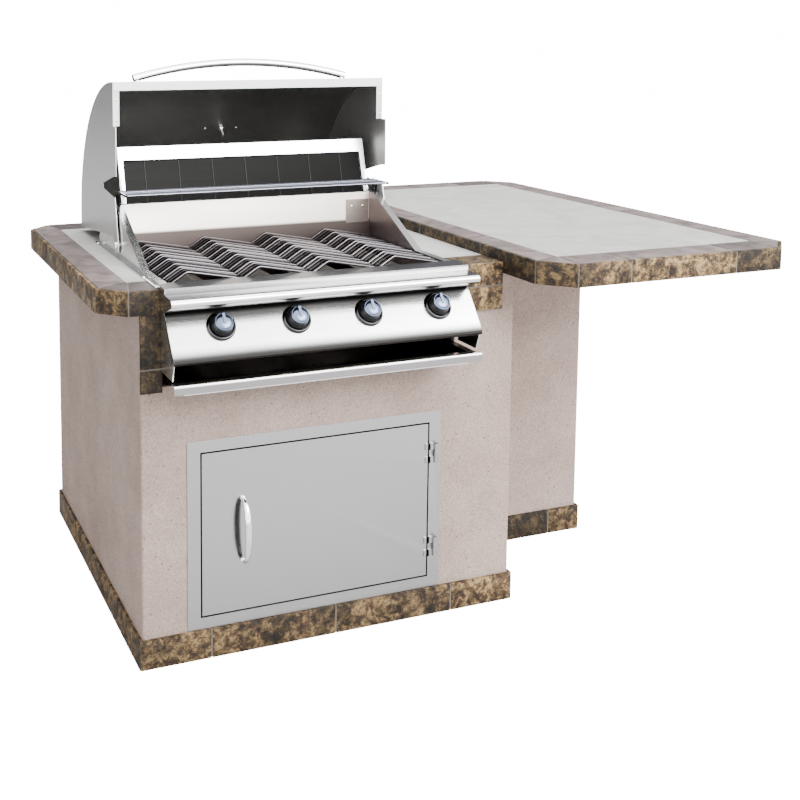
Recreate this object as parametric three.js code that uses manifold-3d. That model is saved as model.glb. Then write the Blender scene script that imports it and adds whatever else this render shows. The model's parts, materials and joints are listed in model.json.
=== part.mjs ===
// An outdoor kitchen island: a stucco body with a tiled cooking counter, a drop-in gas grill with
// a roll-back hood, an access door, and a raised bar top carried by a pedestal beside it.
// Millimetres, +X right along the front, +Y back, +Z up. While the pieces are built, the zero is
// the front left corner of the base tiles. The last lines move it to the middle of the footprint.
import * as THREE from "three";
import { mergeVertices } from "three/addons/utils/BufferGeometryUtils.js";
import Module from "manifold-3d";

const wasm = await Module();
wasm.setup();

// Driving dimensions of the island
const bodyWidth = 1035;
const bodyDepth = 990;
const counterHeight = 928;
const barRise = 29;
const pedestalWidth = 443;
const pedestalSetback = 308;
const barWidth = 792;
const barFrontOverhang = 218;
const barBackOverhang = 255;
const barLap = 49;
const grillLeftMargin = 55;
const grillRightMargin = 180;

// Walls, slabs and tiles
const wallThickness = 12;
const slabThickness = 40;
const tileThickness = 8;
const edgeTileThickness = 9;
const edgeTileHeight = 59;
const baseTileHeight = 74;
const tileLength = 333;
const firstJoint = 182;
const barFirstJoint = 235;
const shortestTile = 30;
const groutWidth = 4;
const groutDepth = 1.5;
const counterLeftOverhang = 84;
const counterFrontOverhang = 2;
const cornerClip = 64;
const barClip = 76;
const borderSideWidth = 85;
const borderFrontWidth = 105;
const fieldClipShare = 0.6;
const surroundTileHeight = 131;
const surroundHeight = 188;
const cornerTileHeight = 124;
const wallFootGap = 2;

// Clearances: pieces that touch, parts that run in one another, and how far a cut runs past
const seatGap = 0.3;
const runGap = 0.4;
const overrun = 6;

// Frame of square steel tube
const postSize = 32;
const railSize = 28;
const crossSize = 24;
const frontRailDrop = 30;
const jambGap = 4;

// Access door
const doorLeft = 158;
const doorRightMargin = 259;
const doorBottom = 107;
const doorTopDrop = 411;
const doorDepth = 20;
const doorGap = 2;
const doorFrameBorder = 34;
const doorFrameRim = 30;
const doorSleeveDepth = 52;
const doorSheet = 2;
const hingeEndMargin = 79;
const hingeHeight = 52;
const hingeKnuckleRadius = 5;
const hingePinRadius = 2.4;
const hingeStandoff = 6.7;
const hingeOffset = 20;
const hingeLeafWidth = 9;
const hingeLeafThickness = 4;
const doorHandleHeight = 177;
const doorHandleReach = 38;
const doorHandleWidth = 17;
const doorHandleThickness = 9;
const doorHandleInset = 106;
const endWidthShare = 0.45;
const catchWidth = 20;
const catchDepth = 14;
const catchHeight = 34;

// Grill body: everything is set from the counter's top and from the front of the walls
const sheet = 2;
const cookDepth = 449;
const fireboxFront = 14;
const fireboxDepth = 626;
const fireboxDrop = 182;
const shieldGap = 4;
const doubleWall = 20;
const flangeWidth = 12;
const cutoutGap = 2;
const deckRise = 10;
const rampStart = 185;
const rampEnd = 440;
const shieldRise = 132;
const tailRise = 22;
const ledgeWidth = 14;
const greaseMargin = 117;
const greaseDepth = 320;

// Rear baffle behind the warming rack
const baffleHeight = 151;
const baffleSetback = 46;
const baffleFrameTop = 36;
const baffleFrameSide = 14;
const baffleFrameDepth = 9;
const baffleFoot = 18;

// Front fascia: deck, rolled nose, slanted control panel
const deckFront = 42;
const deckStep = 13;
const deckSkirt = 6;
const noseReach = 90;
const noseRadius = 10;
const noseDrop = 16;
const noseTurn = 248;
const panelTopReach = 41;
const panelTopDrop = 46;
const panelRun = 73;
const panelFall = 96;
const panelRoll = 8;
const panelLip = 18;
const cheekDrop = 194;
const cheekReach = 93;
const cheekGap = 3;

// Drip tray and its rails
const trayLipHeight = 22;
const trayLipReach = 117;
const trayLipDepth = 19;
const trayLipRound = 6;
const trayDepth = 430;
const trayPanHeight = 28;
const trayWing = 18;
const railLedge = 17;
const railDepth = 450;

// Cooking grates: rods folded in short and long runs
const grateCount = 4;
const grateMargin = 6;
const grateGap = 4;
const grateRods = 22;
const rodRadius = 3.2;
const rodSides = 5;
const grateRise = 30;
const waveHeight = 26;
const shortRunShare = 0.23;
const grateBarThickness = 4;
const grateEndMargin = 6;
const grateSeatDrop = 4;
const rodReach = 4.2;

// Burners and the heat plates over them
const burnerWidth = 44;
const burnerHeight = 24;
const burnerLevelDrop = 98;
const burnerLength = 384;
const venturiLength = 54;
const venturiRadius = 13;
const venturiWall = 2;
const venturiFlare = 2;
const burnerTabLength = 18;
const plateGap = 58;
const plateHeight = 30;
const plateFoot = 8;
const plateLevelDrop = 48;
const plateSlots = 4;
const plateSlotLength = 60;
const plateSlotWidth = 7;

// Gas manifold, valves, stems, bezels and knobs
const knobCount = 4;
const knobPitchShare = 0.2375;
const knobOffset = 13;
const knobDown = 46;
const manifoldRadius = 10;
const manifoldDepth = 45;
const manifoldOverhang = 62;
const valveRadius = 15;
const valveFront = 12;
const valveLength = 38;
const spudRadius = 4;
const spudReach = 10;
const stemRadius = 4;
const stemInside = 24;
const stemOutside = 16;
const stemTravel = 4;
const stemHoleRadius = 7;
const bezelRadius = 36;
const bezelWidth = 6;
const bezelHeight = 8;
const knobRadius = 27;
const knobFaceRadius = 21;
const knobLift = 5;
const knobHeight = 26;
const knobDome = 4;
const knobSkirt = 5;
const knobWaist = 3;
const pointerLength = 26;
const pointerWidth = 5;

// Warming rack
const rackRise = 36;
const rackDepth = 92;
const rackBays = 4;
const rackWireRadius = 2.5;
const rackWireSides = 6;
const rackEndRadius = 3.5;

// Hood, modelled open: its skin is an arc about a centre above the pivot
const hoodRadius = 413;
const hoodCenterBack = 440;
const hoodCenterRise = 52;
const hoodInset = 2;
const hoodTailAngle = -5.5;
const hoodLip = 24;
const hoodFold = 114;
const pivotBack = 418;
const pivotRise = 32;
const pivotPinRadius = 5;
const pivotHeadRadius = 9;
const pivotHeadHeight = 5;
const pivotEarRadius = 22;
const mouthStep = 26;
const mouthStepDrop = 118;
const mouthFlange = 16;
const notchTopDrop = 250;
const notchBottomDrop = 308;
const notchReach = 127;
const notchTipHeight = 12;
const hoodArcSteps = 18;
const handleInset = 80;
const handleRise = 42;
const handleStandoff = 14;
const handleWidth = 20;
const handleThickness = 22;
const handleBossRadius = 9;
const handleAngle = 78;
const gaugeAngle = 38;
const gaugeOffset = 16;
const gaugeRadius = 30;
const gaugeHeight = 12;
const gaugeStemRadius = 4;
const gaugeStemLength = 36;
const gaugeNutRadius = 9;
const gaugeNutHeight = 6;

// Roundness, in sides of a full turn
const fineSides = 16;
const roundSides = 12;
const smallSides = 8;
const cornerSteps = 3;

// Turning a three.js geometry into a solid that can be joined and cut, and back
const mergeTolerance = 1e-4;

function solidOf(geometry) {
  const bare = geometry.clone();
  bare.deleteAttribute("normal");
  bare.deleteAttribute("uv");
  const merged = mergeVertices(bare, mergeTolerance);
  const vertProperties = new Float32Array(merged.attributes.position.array);
  const triVerts = new Uint32Array(merged.index.array);
  return new wasm.Manifold(new wasm.Mesh({ numProp: 3, vertProperties, triVerts }));
}

function geometryOf(solid) {
  const { vertProperties, triVerts } = solid.getMesh();
  const geometry = new THREE.BufferGeometry();
  geometry.setAttribute("position", new THREE.BufferAttribute(vertProperties, 3));
  geometry.setIndex(new THREE.BufferAttribute(triVerts, 1));
  return geometry;
}

const joined = (solids) => solids.reduce((sum, solid) => sum.add(solid));
const without = (solid, cuts) => cuts.reduce((rest, cut) => rest.subtract(cut), solid);

// Shapes. A prism's outline is in (y, z) along x, in (x, z) along y and in (x, y) along z.
const EXTRUDE_BASES = {
  x: [new THREE.Vector3(0, 1, 0), new THREE.Vector3(0, 0, 1), new THREE.Vector3(1, 0, 0)],
  y: [new THREE.Vector3(1, 0, 0), new THREE.Vector3(0, 0, 1), new THREE.Vector3(0, -1, 0)],
  z: [new THREE.Vector3(1, 0, 0), new THREE.Vector3(0, 1, 0), new THREE.Vector3(0, 0, 1)],
};

function prism(axis, outline, from, to) {
  const shape = new THREE.Shape(outline.map(([u, v]) => new THREE.Vector2(u, v)));
  const geometry = new THREE.ExtrudeGeometry(shape, { depth: 1, bevelEnabled: false });
  const ends = axis === "y" ? [-to, -from] : [from, to];
  const { position } = geometry.attributes;
  for (let i = 0; i < position.count; i++) position.setZ(i, ends[position.getZ(i)]);
  geometry.applyMatrix4(new THREE.Matrix4().makeBasis(...EXTRUDE_BASES[axis]));
  return solidOf(geometry);
}

function box([x0, x1], [y0, y1], rise) {
  const plan = [
    [x0, y0],
    [x1, y0],
    [x1, y1],
    [x0, y1],
  ];
  return prism("z", plan, ...rise);
}

function rod(start, end, radius, sides) {
  const from = new THREE.Vector3(...start);
  const span = new THREE.Vector3(...end).sub(from);
  const geometry = new THREE.CylinderGeometry(radius, radius, span.length(), sides);
  const up = new THREE.Vector3(0, 1, 0);
  const turn = new THREE.Quaternion().setFromUnitVectors(up, span.clone().normalize());
  geometry.applyQuaternion(turn);
  geometry.translate(from.x + span.x / 2, from.y + span.y / 2, from.z + span.z / 2);
  return solidOf(geometry);
}

// A body of revolution about +Z from (radius, height) pairs that start and end on the axis.
function turned(profile, sides) {
  const points = profile.map(([radius, height]) => new THREE.Vector2(radius, height));
  const geometry = new THREE.LatheGeometry(points, sides);
  geometry.rotateX(Math.PI / 2);
  return solidOf(geometry);
}

function arc([u, v], radius, fromDegrees, toDegrees, steps) {
  return Array.from({ length: steps + 1 }, (_, i) => {
    const angle = THREE.MathUtils.degToRad(fromDegrees + ((toDegrees - fromDegrees) * i) / steps);
    return [u + radius * Math.cos(angle), v + radius * Math.sin(angle)];
  });
}

// The closed outline of a folded sheet: a line of outer points, and its copy offset to the left.
function folded(line, thickness) {
  const heading = (a, b) => new THREE.Vector2(b[0] - a[0], b[1] - a[1]).normalize();
  const inner = line.map((point, i) => {
    const after = i < line.length - 1 ? heading(point, line[i + 1]) : heading(line[i - 1], point);
    const before = i > 0 ? heading(line[i - 1], point) : after;
    const left = new THREE.Vector2(-before.y - after.y, before.x + after.x).normalize();
    const reach = thickness / (left.x * -before.y + left.y * before.x);
    return [point[0] + left.x * reach, point[1] + left.y * reach];
  });
  return [...line, ...inner.reverse()];
}

// A rectangle with cut corners, drawn in by an inset that keeps every band parallel.
function clippedRectangle([x0, x1], [y0, y1], clips, inset = 0) {
  const cut = clips.map((clip) => (clip > 0 ? clip - inset * (2 - Math.SQRT2) : 0));
  const [left, right] = [x0 + inset, x1 - (clips[1] > 0 || clips[2] > 0 ? inset : 0)];
  const [front, back] = [y0 + inset, y1 - inset];
  const corners = [
    [left + cut[0], front],
    [right - cut[1], front],
    [right, front + cut[1]],
    [right, back - cut[2]],
    [right - cut[2], back],
    [left + cut[3], back],
    [left, back - cut[3]],
    [left, front + cut[0]],
  ];
  return corners.filter((corner, i) => {
    const next = corners[(i + 1) % corners.length];
    return Math.hypot(next[0] - corner[0], next[1] - corner[1]) > mergeTolerance;
  });
}

// Places of the joints between tiles on a run, counted on from the first joint.
function joints(first, from, to) {
  const places = [];
  for (let place = first; place < to - shortestTile; place += tileLength) {
    if (place > from + shortestTile) places.push(place);
  }
  return places;
}

const groove = (place) => [place - groutWidth / 2, place + groutWidth / 2];
const around = (middle, width) => [middle - width / 2, middle + width / 2];

// Materials
const COLOURS = {
  stucco: [0xc9b9ae, 0.95, 0],
  stone: [0x5d4632, 0.35, 0],
  field: [0xcfccc6, 0.6, 0],
  border: [0x9a938c, 0.4, 0],
  galvanised: [0x9fa3a6, 0.5, 0.8],
  satin: [0xb9b8b8, 0.35, 0.9],
  polished: [0xdadada, 0.15, 1],
  dark: [0x2b2a2a, 0.5, 0.6],
  chrome: [0xe6e6e8, 0.08, 1],
  brass: [0xb08a4a, 0.35, 0.9],
};

const island = new THREE.Group();

function piece(name, solid, colour, group = island) {
  const [color, roughness, metalness] = COLOURS[colour];
  const material = new THREE.MeshStandardMaterial({ color, roughness, metalness });
  const mesh = new THREE.Mesh(geometryOf(solid), material);
  mesh.name = name;
  group.add(mesh);
  return mesh;
}

// Places that several pieces share
const barHeight = counterHeight + barRise;
const wallLeft = tileThickness;
const wallRight = bodyWidth - tileThickness;
const wallFront = tileThickness;
const wallBack = bodyDepth - tileThickness;
const slabBottom = counterHeight - tileThickness - slabThickness;
const barSlabBottom = barHeight - tileThickness - slabThickness;
const barLeft = bodyWidth - barLap;
const barRight = barLeft + barWidth;
const barFront = -barFrontOverhang;
const barBack = bodyDepth + barBackOverhang;
const counterRight = barLeft - 2 * seatGap;
const pedestalRight = bodyWidth + pedestalWidth;
const grillWidth = bodyWidth - grillLeftMargin - grillRightMargin;
const grillCenter = grillLeftMargin + grillWidth / 2;
const hoodHalf = grillWidth / 2 - hoodInset;
const fireboxHalf = hoodHalf - sheet - shieldGap;
const cookHalf = fireboxHalf - doubleWall;
const cutoutHalf = fireboxHalf + cutoutGap;
const cutoutLeft = grillCenter - cutoutHalf;
const cutoutRight = grillCenter + cutoutHalf;
const fireboxBack = fireboxFront + fireboxDepth;
const cutoutBack = fireboxBack + cutoutGap;
const fireboxBottom = counterHeight - fireboxDrop;
const deckTop = counterHeight + deckRise;
const trayLevel = fireboxBottom - trayWing - seatGap;
const trayFloor = trayLevel - trayPanHeight;
const openingBottom = trayFloor - cutoutGap - overrun;
const frontRailLevel = openingBottom - frontRailDrop;
const doorWidth = bodyWidth - doorLeft - doorRightMargin;
const doorHeight = counterHeight - doorTopDrop - doorBottom;

// Walls: the top edge of the front and back walls steps up under the bar slab.
function wallOutline() {
  return [
    [wallLeft, wallFootGap],
    [wallRight, wallFootGap],
    [wallRight, barSlabBottom - seatGap],
    [barLeft + edgeTileThickness + seatGap, barSlabBottom - seatGap],
    [barLeft + edgeTileThickness + seatGap, barHeight - edgeTileHeight - seatGap],
    [barLeft, barHeight - edgeTileHeight - seatGap],
    [barLeft, slabBottom - seatGap],
    [wallLeft, slabBottom - seatGap],
  ];
}

function walls() {
  const wallTop = slabBottom - seatGap;
  const frontInner = wallFront + wallThickness;
  const backInner = wallBack - wallThickness;
  const doorHole = box(
    [doorLeft - doorGap - 2 * doorSheet, doorLeft + doorWidth + doorGap + 2 * doorSheet],
    [wallFront - overrun, frontInner + overrun],
    [doorBottom - doorGap - 2 * doorSheet, doorBottom + doorHeight + doorGap + 2 * doorSheet],
  );
  const grillHole = box(
    [cutoutLeft, cutoutRight],
    [wallFront - overrun, frontInner + overrun],
    [openingBottom, counterHeight],
  );
  const frontWall = prism("y", wallOutline(), wallFront, frontInner);
  piece("front_wall", without(frontWall, [doorHole, grillHole]), "stucco");
  piece("back_wall", prism("y", wallOutline(), backInner, wallBack), "stucco");
  const sideSpan = [frontInner + seatGap, backInner - seatGap];
  const leftWall = box([wallLeft, wallLeft + wallThickness], sideSpan, [wallFootGap, wallTop]);
  piece("left_wall", leftWall, "stucco");
  const rightSpan = [wallFootGap, barSlabBottom - seatGap];
  piece("right_wall", box([wallRight - wallThickness, wallRight], sideSpan, rightSpan), "stucco");
}

function pedestalShell() {
  const right = pedestalRight - tileThickness;
  const front = pedestalSetback + tileThickness;
  const outer = box(
    [wallRight + seatGap, right],
    [front, wallBack],
    [wallFootGap, barSlabBottom - seatGap],
  );
  const inner = box(
    [wallRight - overrun, right - wallThickness],
    [front + wallThickness, wallBack - wallThickness],
    [-overrun, barSlabBottom + overrun],
  );
  piece("pedestal_shell", without(outer, [inner]), "stucco");
}

// A square tube between two points that differ along one axis.
function beam(from, to, size) {
  const spans = from.map((value, i) => {
    return value === to[i] ? around(value, size) : [value, to[i]];
  });
  return box(...spans);
}

// Four rails in a plan rectangle at one level.
function railRing([x0, x1], [y0, y1], level) {
  return [
    beam([x0, y0, level], [x1, y0, level], railSize),
    beam([x0, y1, level], [x1, y1, level], railSize),
    beam([x0, y0, level], [x0, y1, level], railSize),
    beam([x1, y0, level], [x1, y1, level], railSize),
  ];
}

function frames() {
  const inner = wallThickness + seatGap + postSize / 2;
  const x = [wallLeft + inner, wallRight - inner];
  const y = [wallFront + inner, wallBack - inner];
  const tops = [slabBottom - seatGap, barSlabBottom - seatGap];
  const foot = postSize / 2;
  const levels = tops.map((top) => top - foot);
  const rest = cutoutBack + cutoutGap + postSize / 2;
  const stud = cutoutRight + cutoutGap + postSize / 2;
  const jambs = [
    doorLeft - doorGap - 2 * doorSheet - jambGap - postSize / 2,
    doorRight + doorGap + 2 * doorSheet + jambGap + postSize / 2,
  ];
  const body = [
    ...railRing(x, y, foot),
    ...x.flatMap((post) =>
      y.map((place) => beam([post, place, 0], [post, place, tops[0]], postSize)),
    ),
    ...x.map((place) => beam([place, y[0], levels[0]], [place, y[1], levels[0]], railSize)),
    beam([x[0], y[1], levels[0]], [x[1], y[1], levels[0]], railSize),
    beam([x[0], rest, levels[0]], [x[1], rest, levels[0]], crossSize),
    beam([x[0], y[0], frontRailLevel], [x[1], y[0], frontRailLevel], railSize),
    beam([stud, y[0], levels[0]], [x[1], y[0], levels[0]], railSize),
    beam([stud, y[0], foot], [stud, y[0], tops[0]], postSize),
    ...jambs.map((place) => beam([place, y[0], foot], [place, y[0], frontRailLevel], postSize)),
  ];
  piece("body_frame", joined(body), "galvanised");
  const px = [wallRight + seatGap + postSize / 2, pedestalRight - tileThickness - inner];
  const py = [pedestalSetback + tileThickness + inner, y[1]];
  const corners = px.flatMap((cx) => py.map((cy) => [cx, cy]));
  const pedestal = [
    ...railRing(px, py, foot),
    ...railRing(px, py, levels[1]),
    ...corners.map(([cx, cy]) => beam([cx, cy, 0], [cx, cy, tops[1]], postSize)),
  ];
  piece("pedestal_frame", joined(pedestal), "galvanised");
}

// Base tiles: a band with grout grooves at each joint.
function baseTiles() {
  const inner = tileThickness - seatGap;
  const rise = [0, baseTileHeight];
  const cutRise = [-overrun, baseTileHeight + overrun];
  const core = [inner, bodyDepth - inner];
  const besidePedestal = [bodyWidth - inner, bodyWidth + overrun];
  const band = without(box([0, bodyWidth], [0, bodyDepth], rise), [
    box([inner, bodyWidth - inner], core, cutRise),
    box(besidePedestal, [pedestalSetback - seatGap, core[1]], cutRise),
  ]);
  const frontCuts = joints(firstJoint, 0, bodyWidth).flatMap((x) => [
    box(groove(x), [-overrun, groutDepth], cutRise),
    box(groove(x), [bodyDepth - groutDepth, bodyDepth + overrun], cutRise),
  ]);
  const sideCuts = joints(tileLength, 0, bodyDepth).map((y) =>
    box([-overrun, groutDepth], groove(y), cutRise),
  );
  piece("base_tiles", without(band, [...frontCuts, ...sideCuts]), "stone");

  const start = bodyWidth + seatGap;
  const pedestalCore = box(
    [start - overrun, pedestalRight - inner],
    [pedestalSetback + inner, core[1]],
    cutRise,
  );
  const pedestalPlan = box([start, pedestalRight], [pedestalSetback, bodyDepth], rise);
  const pedestalBand = pedestalPlan.subtract(pedestalCore);
  const pedestalCuts = joints(bodyWidth + tileLength, start, pedestalRight).flatMap((x) => [
    box(groove(x), [pedestalSetback - overrun, pedestalSetback + groutDepth], cutRise),
    box(groove(x), [bodyDepth - groutDepth, bodyDepth + overrun], cutRise),
  ]);
  const rightFace = [pedestalRight - groutDepth, pedestalRight + overrun];
  const rightCuts = joints(pedestalSetback + tileLength, pedestalSetback, bodyDepth).map((y) =>
    box(rightFace, groove(y), cutRise),
  );
  piece("pedestal_base_tiles", without(pedestalBand, [...pedestalCuts, ...rightCuts]), "stone");
}

// A slab with its raised field, the border tiles laid round the field, and the edge tiles.
function slabParts({ x, y, clips, height, field }) {
  const bottom = height - tileThickness - slabThickness;
  const rebate = height - tileThickness;
  const board = prism("z", clippedRectangle(x, y, clips, edgeTileThickness), bottom, height);
  const raised = prism("z", field, bottom, height + overrun);
  const top = prism("z", clippedRectangle(x, y, clips), rebate, height + overrun).subtract(raised);
  const wide = [-seatGap, seatGap];
  const grownField = joined(
    wide.flatMap((dx) => wide.map((dy) => raised.translate([dx, dy, 0]))),
  );
  const inset = edgeTileThickness + seatGap;
  const border = prism("z", clippedRectangle(x, y, clips, inset), rebate + seatGap, height);
  const edge = prism("z", clippedRectangle(x, y, clips), height - edgeTileHeight, height);
  const core = clippedRectangle(x, y, clips, edgeTileThickness - seatGap);
  const edgeCut = prism("z", core, height - edgeTileHeight - overrun, height + overrun);
  return {
    slab: board.subtract(top),
    border: border.subtract(grownField),
    edge: edge.subtract(edgeCut),
  };
}

function fieldOutline([x0, x1], [y0, y1], clips, clip) {
  const sides = clips.map((value) => (value > 0 ? borderSideWidth : 0));
  const left = x0 + sides[0];
  const right = x1 - sides[1];
  const cut = clips.map((value) => (value > 0 ? clip * fieldClipShare : 0));
  return [
    [left + cut[0], y0 + borderFrontWidth],
    [right - cut[1], y0 + borderFrontWidth],
    ...(cut[1] > 0 ? [[right, y0 + borderFrontWidth + cut[1]]] : []),
    ...(cut[2] > 0 ? [[right, y1 - borderFrontWidth - cut[2]]] : []),
    [right - cut[2], y1 - borderFrontWidth],
    [left + cut[3], y1 - borderFrontWidth],
    [left, y1 - borderFrontWidth - cut[3]],
    [left, y0 + borderFrontWidth + cut[0]],
  ];
}

function cookingCounter() {
  const x = [-counterLeftOverhang, counterRight];
  const y = [-counterFrontOverhang, bodyDepth + counterFrontOverhang];
  const clips = [cornerClip, 0, 0, cornerClip];
  const field = fieldOutline(x, y, clips, cornerClip);
  const { slab, border, edge } = slabParts({ x, y, clips, height: counterHeight, field });
  const under = counterHeight - edgeTileHeight - overrun;
  const over = counterHeight + overrun;
  const front = y[0] - overrun;
  const cutout = box([cutoutLeft, cutoutRight], [front, cutoutBack], [under, over]);
  const rightEnd = box([cutoutLeft, x[1] + overrun], [front, cutoutBack], [under, over]);
  const rightTrim = [x[1] - 2 * edgeTileThickness, x[1] + overrun];
  const trimBack = box(rightTrim, [front, y[1] - 2 * edgeTileThickness], [under, over]);
  const grooveRise = [under, over];
  const topRise = [counterHeight - groutDepth, over];
  const frontCuts = joints(firstJoint - tileLength, x[0], cutoutLeft).map((place) => [
    groove(place),
    [front, y[0] + groutDepth],
    grooveRise,
  ]);
  const backCuts = joints(firstJoint, x[0], x[1]).map((place) => [
    groove(place),
    [y[1] - groutDepth, y[1] + overrun],
    grooveRise,
  ]);
  const leftCuts = joints(tileLength, y[0], y[1]).map((place) => [
    [x[0] - overrun, x[0] + groutDepth],
    groove(place),
    grooveRise,
  ]);
  const borderCuts = [
    ...joints(firstJoint, x[0], x[1]).map((place) => [
      groove(place),
      [y[1] - borderFrontWidth, y[1] + overrun],
      topRise,
    ]),
    ...joints(tileLength, y[0], y[1]).map((place) => [
      [x[0] - overrun, x[0] + borderSideWidth],
      groove(place),
      topRise,
    ]),
  ];
  piece("counter_slab", without(slab, [cutout]), "field");
  const borderTiles = without(border, [rightEnd, ...borderCuts.map((cut) => box(...cut))]);
  piece("counter_border_tiles", borderTiles, "border");
  const edgeCuts = [...frontCuts, ...backCuts, ...leftCuts].map((cut) => box(...cut));
  piece("counter_edge_tiles", without(edge, [rightEnd, trimBack, ...edgeCuts]), "stone");

  // The short stretch right of the grill: two tiles on the front and the border tile behind them.
  const noseBack = y[0] + edgeTileThickness - seatGap;
  const topBack = y[0] + borderFrontWidth - seatGap;
  const bend = counterHeight - tileThickness + seatGap;
  const level = counterHeight - edgeTileHeight;
  const corner = [
    [y[0], counterHeight - cornerTileHeight],
    [noseBack, counterHeight - cornerTileHeight],
    [noseBack, bend],
    [topBack, bend],
    [topBack, counterHeight],
    [y[0], counterHeight],
    [y[0], level + groutWidth / 2],
    [y[0] + groutDepth, level + groutWidth / 2],
    [y[0] + groutDepth, level - groutWidth / 2],
    [y[0], level - groutWidth / 2],
  ];
  piece("counter_corner_tiles", prism("x", corner, cutoutRight + seatGap, x[1]), "stone");
}

function surroundTiles() {
  const top = counterHeight - edgeTileHeight - seatGap;
  const x = [wallLeft, cutoutLeft - seatGap];
  const y = [0, tileThickness - seatGap];
  const column = box(x, y, [top - surroundHeight, top]);
  const level = top - surroundTileHeight;
  const cut = box([x[0] - overrun, x[1] + overrun], [-overrun, groutDepth], groove(level));
  piece("surround_tiles", column.subtract(cut), "stone");
}

function barTop() {
  const x = [barLeft, barRight];
  const y = [barFront, barBack];
  const clips = [barClip, barClip, barClip, barClip];
  const field = fieldOutline(x, y, clips, barClip);
  const { slab, border, edge } = slabParts({ x, y, clips, height: barHeight, field });
  const rise = [barHeight - edgeTileHeight - overrun, barHeight + overrun];
  const topRise = [barHeight - groutDepth, barHeight + overrun];
  const alongX = joints(barLeft + barFirstJoint, x[0] + barClip, x[1] - barClip);
  const alongY = joints(barFront + tileLength, y[0] + barClip, y[1] - barClip);
  const edgeCuts = [
    ...alongX.flatMap((place) => [
      box(groove(place), [y[0] - overrun, y[0] + groutDepth], rise),
      box(groove(place), [y[1] - groutDepth, y[1] + overrun], rise),
    ]),
    ...alongY.flatMap((place) => [
      box([x[0] - overrun, x[0] + groutDepth], groove(place), rise),
      box([x[1] - groutDepth, x[1] + overrun], groove(place), rise),
    ]),
  ];
  const borderCuts = [
    ...alongX.flatMap((place) => [
      box(groove(place), [y[0] - overrun, y[0] + borderFrontWidth], topRise),
      box(groove(place), [y[1] - borderFrontWidth, y[1] + overrun], topRise),
    ]),
    ...alongY.flatMap((place) => [
      box([x[0] - overrun, x[0] + borderSideWidth], groove(place), topRise),
      box([x[1] - borderSideWidth, x[1] + overrun], groove(place), topRise),
    ]),
  ];
  piece("bar_slab", slab, "field");
  piece("bar_border_tiles", without(border, borderCuts), "border");
  piece("bar_edge_tiles", without(edge, edgeCuts), "stone");
}

// Access door: a face frame with a sleeve, a folded door pan, two knuckle hinges and a bow pull.
const doorFace = wallFront - seatGap - doorSheet;
const doorRight = doorLeft + doorWidth;
const doorTop = doorBottom + doorHeight;
const hingeSpacing = doorHeight - 2 * hingeEndMargin;
const hingeX = doorRight + hingeOffset;
const hingeY = doorFace - hingeStandoff;
const hingeLevels = [-1, 1].map((side) => doorBottom + doorHeight / 2 + (side * hingeSpacing) / 2);
const knuckleHeight = hingeHeight / 3;

function knuckle(level, index, side) {
  const low = level - hingeHeight / 2 + index * knuckleHeight;
  const from = index === 0 ? low : low + seatGap / 2;
  const to = index === 2 ? low + knuckleHeight : low + knuckleHeight - seatGap / 2;
  const barrel = rod([hingeX, hingeY, from], [hingeX, hingeY, to], hingeKnuckleRadius, roundSides);
  const leafFront = doorFace - hingeLeafThickness + seatGap;
  const web = [hingeX - hingePinRadius, hingeX + hingePinRadius];
  const link = box(web, [hingeY, leafFront + seatGap], [from, to]);
  if (side > 0) {
    const leafX = [hingeX, hingeX + hingeLeafWidth];
    return [barrel, link, box(leafX, [leafFront, doorFace + seatGap], [from, to])];
  }
  const arm = box([doorRight - hingeLeafWidth, hingeX], [leafFront, doorFace - seatGap], [from, to]);
  const padX = [doorRight - hingeLeafWidth, doorRight - seatGap];
  return [barrel, link, arm, box(padX, [leafFront, doorFace + seatGap], [from, to])];
}

function hingeBores() {
  return hingeLevels.map((level) => {
    const reach = hingeHeight / 2 + overrun;
    const low = [hingeX, hingeY, level - reach];
    return rod(low, [hingeX, hingeY, level + reach], hingePinRadius + runGap, roundSides);
  });
}

function doorFrame() {
  const side = doorGap + doorFrameBorder;
  const rim = doorGap + doorFrameRim;
  const flange = box(
    [doorLeft - side, doorRight + side],
    [doorFace, doorFace + doorSheet],
    [doorBottom - rim, doorTop + rim],
  );
  const sleeve = box(
    [doorLeft - doorGap - doorSheet, doorRight + doorGap + doorSheet],
    [doorFace + doorSheet / 2, doorFace + doorSleeveDepth],
    [doorBottom - doorGap - doorSheet, doorTop + doorGap + doorSheet],
  );
  const hole = box(
    [doorLeft - doorGap, doorRight + doorGap],
    [doorFace - overrun, doorFace + doorSleeveDepth + overrun],
    [doorBottom - doorGap, doorTop + doorGap],
  );
  const knuckles = hingeLevels.flatMap((level) => knuckle(level, 1, 1));
  const frame = joined([flange.add(sleeve).subtract(hole), ...knuckles]);
  piece("door_frame", without(frame, hingeBores()), "satin");
}

function doorPanel() {
  const outside = box(
    [doorLeft, doorRight],
    [doorFace, doorFace + doorDepth],
    [doorBottom, doorTop],
  );
  const hollow = box(
    [doorLeft + doorSheet, doorRight - doorSheet],
    [doorFace + doorSheet, doorFace + doorDepth + overrun],
    [doorBottom + doorSheet, doorTop - doorSheet],
  );
  const knuckles = hingeLevels.flatMap((level) => [
    ...knuckle(level, 0, -1),
    ...knuckle(level, 2, -1),
  ]);
  const pan = joined([outside.subtract(hollow), ...knuckles]);
  piece("door_panel", without(pan, hingeBores()), "satin");
  hingeLevels.forEach((level, i) => {
    const reach = hingeHeight / 2;
    const shank = rod(
      [hingeX, hingeY, level - reach],
      [hingeX, hingeY, level + reach + sheet],
      hingePinRadius,
      roundSides,
    );
    const head = rod(
      [hingeX, hingeY, level + reach + seatGap],
      [hingeX, hingeY, level + reach + sheet],
      hingeKnuckleRadius - seatGap,
      roundSides,
    );
    piece("door_hinge_pin_" + (i + 1), shank.add(head), "satin");
  });
}

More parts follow.
